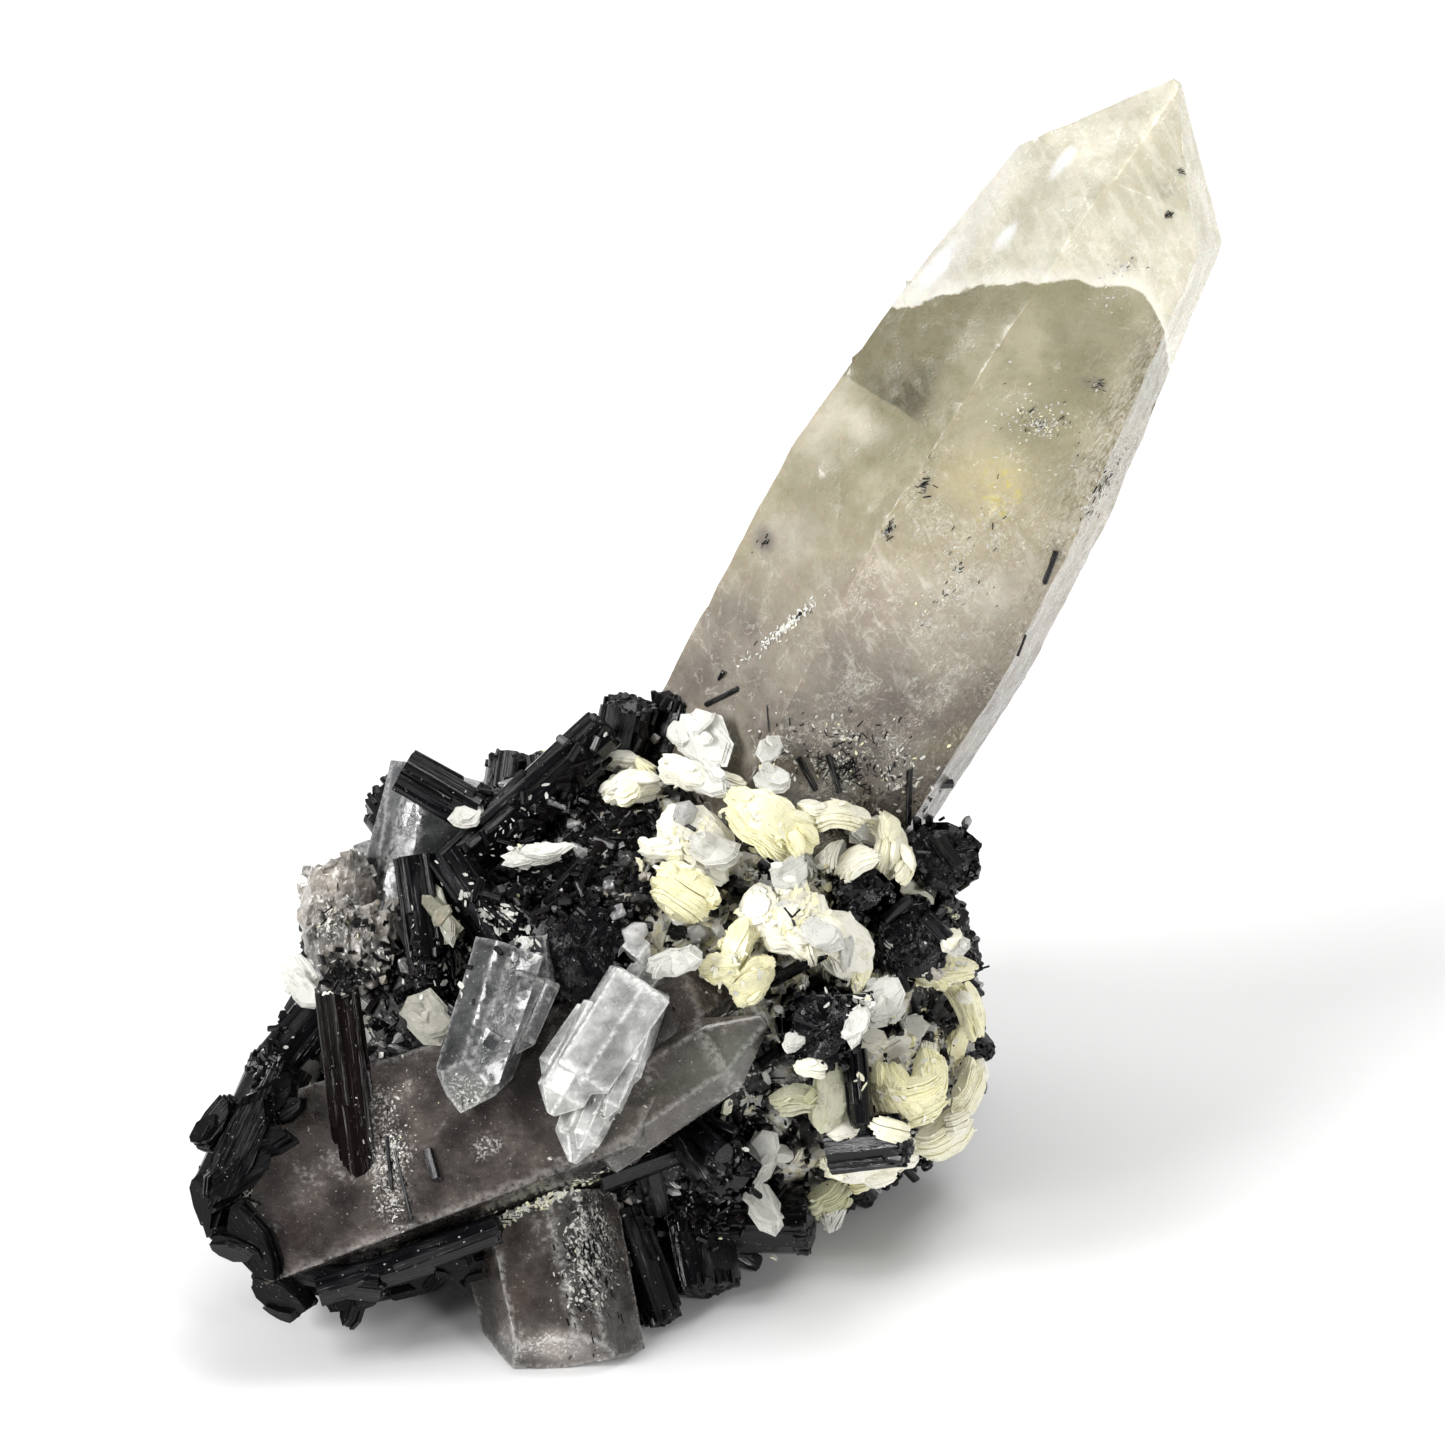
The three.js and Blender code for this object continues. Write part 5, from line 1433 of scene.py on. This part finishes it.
def growMiddling():
    # Crystals of a middling size between the large ones.
    draw, black, clear, books = random.Random(53), [], [], {"cream_mica": [], "white_mica": []}
    rule = scatter["middleSchorl"]
    for spot, outward in spotsFor(rule, draw):
        if draw.random() < micaShare(spot) * 1.2:
            continue
        along = randomTilt(outward, draw, 0.5)
        along = along if along.dot(outward) > 0.05 else (along + outward * 0.6).normalized()
        low, high = rule["radius"]
        radius = low + (high - low) * draw.random() ** 1.6
        length = radius * draw.uniform(2.4, 5)
        root = spot - along * max(0.3, length - draw.uniform(0.6, 1.5) / max(0.25, along.dot(outward)))
        shape = draw.choice(prisms)
        local, turned = prismPoints(shape, radius, length, 0.3), draw.uniform(0, 120)
        black.append(copyOf(shape, local, root, along, turned, draw.uniform(0, 40), draw.random() ** 3))
    rule = scatter["middleQuartz"]
    for spot, outward in spotsFor(rule, draw):
        along = randomTilt(outward, draw, 0.9)
        radius = draw.uniform(*rule["radius"])
        shape = draw.choice(smallQuartz)
        local = shape.points * np.array((radius, radius, radius * draw.uniform(1, 1.6)))
        root = spot - along * radius * 0.9
        clear.append(copyOf(shape, local, root, along, draw.uniform(0, 60), 0, draw.random()))
    rule = scatter["smallBooks"]
    for spot, outward in spotsFor(rule, draw):
        if draw.random() > micaShare(spot) * 1.1:
            continue
        length = draw.uniform(*rule["length"])
        kind = "cream_mica" if draw.random() < 0.7 else "white_mica"
        facing = randomTilt(outward, draw, 0.9)
        book = (
            spot + outward * draw.uniform(-0.2, 0.5), facing, draw.uniform(0, 180), length,
            length * draw.uniform(0.45, 0.8), draw.uniform(0.5, 1.1), draw.uniform(20, 60),
        )
        books[kind] += makeBook(book, draw.random(), draw.random() < 0.5, draw, small=True)
    joinCopies("middleSchorl", black, "schorl", smooth=18)
    joinCopies("middleQuartz", clear, "clear_quartz", smooth=20)
    joinCopies("smallCreamBooks", books["cream_mica"], "cream_mica", smooth=40)
    joinCopies("smallWhiteBooks", books["white_mica"], "white_mica", smooth=40)


# Single small things that stand out, by their place on the face. Those without a depth lie on what is there.
blackRods = [  # from, to, radius
    ((6.2, 44.0), (7.6, 43.2), 0.22), ((14.2, 31.2), (17.8, 33.3), 0.62), ((14.8, 36.9), (15.35, 36.2), 0.14),
    ((15.9, 36.8), (15.35, 36.2), 0.12), ((15.3, 36.3), (15.55, 35.6), 0.13),
    ((13.1, 41.3), (12.9, 39.6), 0.07), ((13.9, 40.5), (15.2, 39.3), 0.15),
    ((24.9, 29.9), (26.5, 26.3), 0.26), ((8.8, 53.4), (11.0, 54.5), 0.28), ((16.1, 48.6), (17.3, 46.4), 0.3),
    ((18.4, 48.8), (19.2, 46.2), 0.28), ((24.9, 47.4), (24.8, 43.6), 0.28), ((13.4, 52.9), (13.5, 51.1), 0.07),
    ((24.1, 31.8), (24.6, 30.3), 0.4), ((12.9, 40.4), (13.7, 39.9), 0.45), ((5.6, 35.2), (6.6, 34.8), 0.8),
    ((-8.8, 44.6), (-2.2, 50.2), 0.5), ((-5.2, 36.8), (-1.8, 40.6), 0.3), ((-6.2, 38.2), (-3.2, 37.6), 0.25),
    ((1.2, 42.0), (3.4, 45.4), 0.3), ((-1.6, 43.2), (1.4, 41.6), 0.26), ((27.3, 42.2), (28.6, 40.2), 0.9),
    ((-24.8, 7.8, 2.0), (-17.6, 7.0, 2.4), 1.6), ((-21.4, 6.9, 2.6), (-13.6, 9.2, 2.4), 1.5),
    ((-15.4, 8.8, 2.6), (-8.4, 11.4, 2.6), 1.5),
    ((0.8, 15.4), (6.8, 17.6), 1.3), ((3.6, 17.0), (4.6, 12.6), 1.2), ((6.4, 18.4), (8.6, 15.0), 1.4),
    ((9.6, 17.6), (7.2, 19.6), 1.0), ((36.5, 65.2), (35.7, 63.0), 0.26), ((34.1, 58.6), (33.6, 57.2), 0.14),
    ((-16.2, 17.0), (-15.0, 12.2), 0.14), ((-17.0, 18.2), (-16.6, 14.6), 0.2), ((-13.6, 17.4), (-13.0, 15.4), 0.5),
    ((26.2, 36.2), (27.8, 34.6), 0.8), ((23.0, 36.2), (24.8, 37.6), 0.6), ((8.2, 20.2), (10.8, 19.0), 0.5),
]
blackSlabs = [  # place, faces, spin, length, width, thickness
    ((-28.7, 17.2, 3.5), (-0.18, 0.08, 0.98), 64, 11.5, 5.0, 1.7),
    ((-27.4, 10.6, 3.3), (-0.38, -0.2, 0.90), -54, 8.4, 3.4, 1.6),
    ((-26.0, 21.4, 2.4), (-0.15, 0.35, 0.92), 40, 6.5, 3.0, 1.4),
    ((-29.8, 13.6, 2.0), (-0.7, 0.0, 0.7), 75, 8.0, 4.0, 1.5),
    ((-12.6, 8.2, -0.4), (0.0, -0.4, 0.92), 15, 7.0, 3.0, 1.6),
    ((-19.4, 6.4, 0.6), (-0.1, -0.5, 0.86), 6, 6.4, 2.6, 1.6),
    ((-25.4, 6.9, 2.0), (-0.3, -0.6, 0.75), -22, 6.4, 3.4, 1.7),
    ((-30.0, 19.6, 2.6), (-0.55, 0.3, 0.78), 50, 6.0, 3.2, 1.5),
]
overCrystals = [  # from, to, half width, flatness, how far it is set in
    ((-6.4, 32.0), (-10.8, 21.2), 2.3, 0.6, 1.0), ((-4.4, 31.2), (-6.8, 25.4), 1.5, 0.7, 0.7),
    ((-8.4, 27.2), (-11.0, 23.4), 1.2, 0.7, 0.5),
]
clearGrains = [  # place, radius, tint
    ((28.2, 36.8), 0.45, 0.0), ((0.8, 38.6), 0.8, 1.0), ((3.7, 39.4), 0.75, 0.8), ((2.7, 34.8), 1.15, 0.3),
    ((7.8, 34.8), 1.1, 0.3), ((6.9, 44.6), 1.3, 0.4), ((27.8, 30.4), 1.2, 0.7), ((26.9, 31.6), 0.8, 0.7),
    ((1.4, 36.6), 0.7, 1.0), ((-1.4, 41.2), 0.5, 1.0), ((29.6, 43.6), 0.5, 0.4), ((20.5, 43.2), 1.0, 0.6),
]
extraBooks = [  # place, faces, spin, length, width, thickness, bend, tint
    ((25.6, 38.0), (0.2, 0.1, 0.97), 20, 2.6, 2.6, 0.6, 15, 0.35),
    ((2.2, 46.2), (-0.2, 0.3, 0.9), 30, 2.2, 1.8, 1.2, 60, 0.5),
    ((1.6, 48.8), (0, 0.8, 0.6), -15, 3.2, 1.6, 1.2, 40, 0.05),
    ((6.6, 47.9), (0.1, 0.6, 0.8), -28, 4.2, 2.2, 1.4, 35, 0.15),
    ((10.2, 46.2), (0.1, 0.8, 0.55), 5, 2.8, 1.2, 0.7, 20, 0.45),
    ((18.4, 41.2), (-0.5, 0.5, 0.7), 80, 3.4, 2.2, 0.9, 40, 0.2),
    ((20.6, 40.6), (-0.3, 0.6, 0.7), 30, 3.6, 2.4, 1.0, 50, 0.3),
    ((28.2, 34.6), (0.3, 0.6, 0.7), 70, 2.4, 1.4, 0.7, 40, 0.3),
    ((21.4, 26.4), (0.2, 0.4, 0.9), -30, 3.0, 2.2, 0.9, 40, 0.1),
    ((23.8, 25.6), (0.3, 0.1, 0.95), 40, 3.2, 1.8, 1.0, 50, 0.15),
    ((19.6, 19.4), (0.1, 0.5, 0.85), 10, 3.2, 2.0, 1.0, 40, 0.2),
    ((28.6, 25.4), (0.6, 0.1, 0.8), 70, 3.4, 1.6, 1.1, 60, 0.8),
    ((27.6, 20.6), (0.5, -0.2, 0.8), 10, 2.8, 2.0, 1.0, 50, 0.6),
    ((23.2, 19.2), (0.1, -0.2, 0.95), -20, 3.0, 1.8, 1.0, 60, 0.5),
    ((8.8, 22.4), (-0.2, 0.3, 0.9), 50, 2.4, 1.6, 0.8, 30, 0.2),
    ((16.8, 24.4), (0, 0.7, 0.7), 0, 2.6, 1.6, 0.9, 60, 0.3),
]
extraPlates = [  # place, faces, spin, length, width, thickness, tint
    ((-26.0, 21.3), (0.05, -0.1, 0.99), 50, 4.8, 3.0, 0.5, 0.0),
    ((-23.6, 24.0), (0.2, 0.1, 0.97), 62, 5.0, 2.2, 0.8, 0.5),
    ((-24.0, 30.2), (-0.1, 0.3, 0.95), -50, 4.0, 2.6, 0.8, 0.2),
    ((5.9, 32.8), (0.1, -0.4, 0.9), 10, 5.0, 2.0, 0.8, 0.0), ((22.4, 29.6), (0.2, 0.3, 0.92), 40, 5.0, 3.6, 1.0, 0.0),
    ((24.6, 26.8), (0.2, 0.1, 0.96), 10, 4.2, 3.0, 0.9, 0.1),
    ((20.4, 27.4), (0.0, 0.5, 0.86), 70, 4.2, 1.8, 0.9, 0.1),
    ((15.6, 26.6), (0.4, 0.6, 0.7), 60, 4.0, 1.6, 0.9, 0.2), ((9.0, 41.6), (0.1, 0.3, 0.94), -30, 5.4, 3.2, 0.8, 0.1),
    ((21.6, 43.0), (-0.1, 0.4, 0.9), 20, 4.0, 2.4, 0.7, 0.3),
    ((17.8, 34.8), (0.2, 0.2, 0.95), -30, 4.4, 3.0, 0.7, 0.1),
    ((12.8, 17.2), (-0.3, 0.4, 0.86), 60, 4.4, 3.0, 1.2, 0.0),
    ((-4.4, 41.4), (-0.1, 0.5, 0.86), 6, 4.6, 1.6, 0.7, 0.3),
    ((28.4, 33.8), (0.3, 0.4, 0.85), 20, 3.2, 1.8, 0.7, 0.2),
    ((-10.8, 44.2), (0.1, 0.3, 0.94), 40, 3.6, 2.2, 0.5, 0.7),
]


inFront, deepest = 60, -12  # where the sight lines start, and where a spot lies that meets nothing


def seenFromFront(x, y):
    # The first surface under a spot of the face, and the way it faces.
    return wholeTree.ray_cast(Vector((x, y, inFront)), Vector((0, 0, -1)))[:2]


def layOn(spot, lift=0.0):
    hit = seenFromFront(*spot)[0]
    return Vector((*spot, (hit.z if hit else deepest) + lift))


def addRods(draw):
    rods = []
    for start, end, radius in blackRods:
        start, end = (Vector(spot) if len(spot) == 3 else layOn(spot, radius * 0.3) for spot in (start, end))
        if (end - start).length > 2.2 * math.dist(start.xy, end.xy):  # it would dive into a gap
            end.z = start.z + 0.3 * radius
        start -= (end - start) * 0.15
        shape = draw.choice(prisms)
        local = prismPoints(shape, radius, (end - start).length, 0.4)
        rods.append(copyOf(shape, local, start, end - start, draw.uniform(0, 120), 7))
    return rods


def addSlabs(draw):
    slabs = []
    for spot, faces, spin, length, width, thickness in blackSlabs:
        for part in range(3):  # broken slabs grown through each other
            shape, share = draw.choice(plates), 1 if part == 0 else draw.uniform(0.45, 0.75)
            local = shape.points * np.array((length / 2 * share, width / 2 * share, thickness))
            lean = Vector(faces) + Vector(shaken(draw, 0.22 * part))
            nudge = np.array([draw.uniform(-0.18, 0.18) * length * min(part, 1) * side for side in (1, 1, 0.1)])
            turned = placed(local, np.array(spot) + nudge, lean, spin + part * draw.uniform(-40, 40))
            slabs.append((shape, turned, local[:, [2, 1, 0]] + 5, 0.2))
    joinCopies("leftSlabs", slabs, "schorl", smooth=12, finish="dull_schorl")


def addSingles():
    draw = random.Random(61)
    rods = addRods(draw)
    addSlabs(draw)
    grown = [
        quartzBetween(layOn(start, -setIn), layOn(end, -setIn), radius, flat, 30, draw)
        for start, end, radius, flat, setIn in overCrystals
    ]
    joinCopies("greyOvergrowth", grown, "clear_quartz", smooth=20, finish="grey_quartz")
    facet = quartzBetween((-0.6, 18.9, 2.4), (13.2, 27.9, 3.5), 4.0, 0.42, 30, draw, 1.1)
    joinCopies("lyingCrystalEnd", [facet], "dark_smoky", smooth=12, finish="lying_smoky")
    clear, books, bright = [], [], []
    for spot, radius, tint in clearGrains:
        for part in range(3):  # a few crystals grown through each other
            shape = draw.choice(smallQuartz)
            size = radius * draw.uniform(0.55, 0.9)
            along = Vector((draw.gauss(0, 0.5), draw.gauss(0, 0.5), 1)).normalized()
            root = layOn(spot, -size * 0.6)
            clear.append(copyOf(shape, shape.points * size, root, along, draw.uniform(0, 60), 0, tint))
    for spot, faces, spin, length, width, thickness, bend, tint in extraBooks:
        book = (layOn(spot, thickness * 0.25), faces, spin, length, width, thickness, bend)
        books += makeBook(book, tint, draw.random() < 0.4, draw)
    for spot, *shape, tint in extraPlates:
        bright += makePlates((layOn(spot, 0.3), *shape), tint, draw)
    joinCopies("singlePlates", bright, "white_mica", smooth=8)
    joinCopies("singleRods", rods, "schorl", smooth=18)
    joinCopies("singleBooks", books, "cream_mica", smooth=40)
    joinCopies("singleGrains", clear, "clear_quartz", smooth=20, finish="grains")


# Fine crusts, needles and inclusions on single faces: place, reach, tilt, the way the needles lie,
# how many black needles, white slivers and cream slivers, their size and how loosely they lie.
crusts = [
    ((-0.8, 9.4), (2.9, 7.0), 0, (0.35, -0.94), 240, 520, 10, 0.2, 0),
    ((-16.6, 17.0), (1.9, 6.0), 0, (0.1, -1), 40, 620, 20, 0.16, 0),
    ((-28.6, 14.0), (1.6, 8.0), 14, (-0.3, -1), 46, 60, 0, 0.45, 0.5),
    ((-5.8, 12.9), (12, 0.5), 24.6, (0.91, 0.42), 20, 200, 260, 0.3, 0.8),
    ((20.0, 48.0), (8.5, 3.0), -8, (0.2, 1), 170, 260, 40, 0.2, 0.8),
    ((20.0, 50.6), (9.5, 2.0), -8, (0.2, 1), 30, 90, 30, 0.16, 0.8),
    ((-3.0, 42.0), (9.0, 6.5), 40, (0.5, 0.5), 480, 60, 0, 0.7, 1.6),
    ((1.5, 43.5), (5.0, 6.0), 20, (0.5, 0.5), 260, 30, 0, 0.8, 1.6),
    ((-15.4, 32.0), (5.0, 4.0), 0, (0.5, 0.5), 130, 60, 10, 0.5, 1.6),
    ((-27.0, 24.6), (3.0, 4.4), 0, (0.5, 0.5), 90, 40, 0, 0.5, 1.6),
    ((-7.8, 36.0), (1.2, 5.0), 50, (0.6, -0.8), 30, 150, 0, 0.34, 0),
    ((-11.6, 33.6), (0.9, 3.4), 0, (0.2, 1), 10, 110, 20, 0.36, 0),
    ((15.4, 36.2), (5.6, 3.8), -20, (1, 0), 0, 8, 130, 0.45, 0),
    ((13.6, 43.4), (4.4, 3.0), -30, (1, 0), 0, 8, 70, 0.4, 0),
    ((8.0, 41.6), (4.4, 4.0), -40, (1, 0), 0, 8, 70, 0.42, 0),
    ((10.8, 33.0), (2.6, 4.4), 0, (1, 0), 0, 8, 70, 0.4, 0),
    ((24.8, 24.6), (4.6, 4.6), 0, (1, 0), 0, 8, 110, 0.36, 0),
    ((27.8, 30.0), (3.0, 3.0), 0, (1, 0), 6, 90, 70, 0.4, 0),
    ((22.0, 29.4), (3.2, 3.0), 0, (1, 0), 0, 160, 10, 0.4, 0),
    ((12.6, 21.8), (3.0, 5.0), 0, (1, 0), 20, 160, 30, 0.28, 0),
    ((8.0, 13.0), (4.0, 3.6), 0, (0.3, -0.9), 200, 60, 20, 0.5, 1.2),
    ((-20.6, 31.0), (4.0, 2.0), 0, (0.4, 0.6), 100, 40, 10, 0.4, 1.6),
    ((35.2, 75.6), (5.6, 3.0), -25, (0.56, 0.83), 34, 200, 90, 0.11, 0),
    ((28.8, 64.0), (8.5, 4.5), 56, (0.56, 0.83), 30, 320, 60, 0.12, 0),
    ((40.2, 70.4), (6.5, 1.0), 60, (0.5, 0.86), 26, 300, 0, 0.15, 0),
    ((15.0, 59.6), (5.4, 0.6), 40, (0.77, 0.64), 6, 170, 20, 0.16, 0),
    ((25.8, 70.8), (0.7, 1.1), -30, (1, 0.2), 30, 6, 0, 0.15, 0),
    ((23.1, 67.1), (0.5, 1.0), -30, (0.3, 1), 22, 16, 0, 0.14, 0),
    ((46.4, 95.9), (0.5, 0.8), 0, (1, 0.3), 12, 0, 0, 0.12, 0),
    ((45.2, 92.2), (0.9, 0.6), 0, (1, 0.6), 16, 4, 0, 0.14, 0),
    ((39.7, 78.8), (0.8, 0.5), 0, (1, 0), 14, 10, 0, 0.12, 0),
    ((13.0, 66.2), (0.6, 0.7), 0, (1, 0.5), 14, 0, 0, 0.12, 0),
    ((42.0, 88.0), (5.5, 2.4), 60, (0.56, 0.83), 6, 170, 30, 0.1, 0),
    ((-10.6, 21.8), (2.4, 2.6), 0, (0.5, 0.8), 6, 60, 4, 0.13, 0),
    ((-6.4, 42.6), (5.0, 4.6), 40, (0.7, 0.65), 40, 110, 6, 0.2, 0),
    ((-21.8, 36.0), (3.2, 5.0), 0, (0.7, 0.65), 6, 50, 10, 0.2, 0),
    ((0.6, 20.4), (2.0, 2.6), -40, (0.5, 0.8), 4, 70, 4, 0.16, 0),
]


def makeNeedle(size, along, loose, spot, outward, draw):
    along = Vector((*along, 0)) + Vector(shaken(draw, loose or 0.35))
    along = (along - outward * along.dot(outward) * 0.9).normalized()
    stout = 1.7 if loose > 1 else 1
    local = smallPrismPoints(size * draw.uniform(0.2, 0.4) * stout, size * draw.uniform(1.2, 4) / stout)
    turned = draw.uniform(0, 60)
    return copyOf(smallPrism, local, spot + outward * 0.02, along, turned, 0, draw.random() ** 3)


def makeSliver(size, tint, loose, spot, outward, draw):
    shape = draw.choice(shards)
    size *= 0.5 if loose > 1 else 1
    local = shape.points * size * np.array((1.3, draw.uniform(0.3, 0.9), 0.4))
    lean = outward + Vector(shaken(draw, 0.17))
    return copyOf(shape, local, spot - outward * 0.04, lean, draw.uniform(0, 360), 0, tint)


def addCrusts():
    draw, groups = random.Random(71), {"black": [], "white": [], "cream": []}
    for at, reach, tilt, along, *counts, usual, loose in crusts:
        c, s = math.cos(math.radians(tilt)), math.sin(math.radians(tilt))
        for kind, count in zip(groups, counts):
            for _ in range(count):
                angle, out = draw.uniform(0, math.tau), abs(draw.gauss(0, 0.5))
                u, v = reach[0] * out * math.cos(angle), reach[1] * out * math.sin(angle)
                spot, outward = seenFromFront(at[0] + u * c - v * s, at[1] + u * s + v * c)
                if not spot or (kind == "black" and micaTree.find_nearest(spot)[3] < 0.3):
                    continue
                size, tint = usual * draw.uniform(0.5, 1.2), draw.random()
                if kind == "black":
                    groups[kind].append(makeNeedle(size, along, loose, spot, outward, draw))
                else:
                    groups[kind].append(makeSliver(size, tint, loose, spot, outward, draw))
    joinCopies("fineNeedles", groups["black"], "schorl", smooth=0)
    joinCopies("fineWhiteSlivers", groups["white"], "white_mica", smooth=0)
    joinCopies("fineCreamSlivers", groups["cream"], "cream_mica", smooth=0)


addCrusts()
growSmallSchorl()
growGrains()
growShards()
growMiddling()
addSingles()
print("small crystals grown")


# The stand: a pale floor, soft lights and the camera square to the specimen's face.
floorLook = {"size": 6, "height": -0.00005}


def makeStage():
    bpy.ops.object.select_all(action="DESELECT")
    bpy.ops.mesh.primitive_plane_add(size=floorLook["size"], location=(0, 0, floorLook["height"]))
    floor = bpy.context.object
    floor.name = "floor"
    f = Finish("paleFloor")
    soft = f.noise(f.node("ShaderNodeTexCoord", output="Object"), 3, 2)
    colour = f.mixColours(soft, (0.93, 0.93, 0.93), (0.95, 0.95, 0.95))
    floor.data.materials.append(f.done(f.surface({"Base Color": colour, "Roughness": 0.9})))


lights = {
    "keyLight": {"at": (-0.8, -0.35, 0.62), "size": 0.4, "power": 7.6},
    "topLight": {"at": (0.2, 0.35, 1.0), "size": 0.7, "power": 7.0},
    "frontLight": {"at": (0.6, -0.75, 0.4), "size": 0.2, "power": 2.8},
    "leftLight": {"at": (-0.75, -0.75, 0.5), "size": 0.22, "power": 3.6},
}
room = {"facing": (0, -0.87, 0.5), "bright": 0.4, "dim": 0.07}  # dimmer straight in front of the face


def makeLights():
    world = bpy.data.worlds.new("white room")
    bpy.context.scene.world = world
    world.use_nodes = True
    f = Finish("roomLight")
    f.tree = world.node_tree
    direction = f.node("ShaderNodeTexCoord", output="Generated")
    settings = {"operation": "DOT_PRODUCT"}
    front = f.node("ShaderNodeVectorMath", settings, {0: direction, 1: room["facing"]}, "Value")
    strength = f.between(front, 0.45, 0.95, room["bright"], room["dim"])
    background = world.node_tree.nodes["Background"]
    background.inputs["Color"].default_value = (1, 1, 1, 1)
    world.node_tree.links.new(strength.socket, background.inputs["Strength"])
    bpy.data.materials.remove(f.material)
    for name, light in lights.items():
        data = bpy.data.lights.new(name, "AREA")
        data.energy, data.size = light["power"], light["size"]
        lamp = bpy.data.objects.new(name, data)
        bpy.context.scene.collection.objects.link(lamp)
        lamp.location = light["at"]
        lamp.rotation_euler = (-Vector(light["at"])).to_track_quat("-Z", "Y").to_euler()


view = {"target": (9.8, 51.8, 0), "distance": 0.9, "elevation": 30, "lens": 280, "sensor": 36}


def makeCamera():
    target = faceMatrix @ Vector(view["target"])
    tilt = math.radians(view["elevation"])
    back = Vector((0, -math.cos(tilt), math.sin(tilt)))
    data = bpy.data.cameras.new("camera")
    data.lens, data.sensor_width = view["lens"], view["sensor"]
    data.clip_start, data.clip_end = 0.05, 20
    camera = bpy.data.objects.new("camera", data)
    bpy.context.scene.collection.objects.link(camera)
    camera.location = target + back * view["distance"]
    camera.rotation_euler = (-back).to_track_quat("-Z", "Y").to_euler()
    bpy.context.scene.camera = camera
    bpy.context.scene.view_settings.view_transform = "Standard"


makeStage()
makeLights()
makeCamera()
print("stage ready")
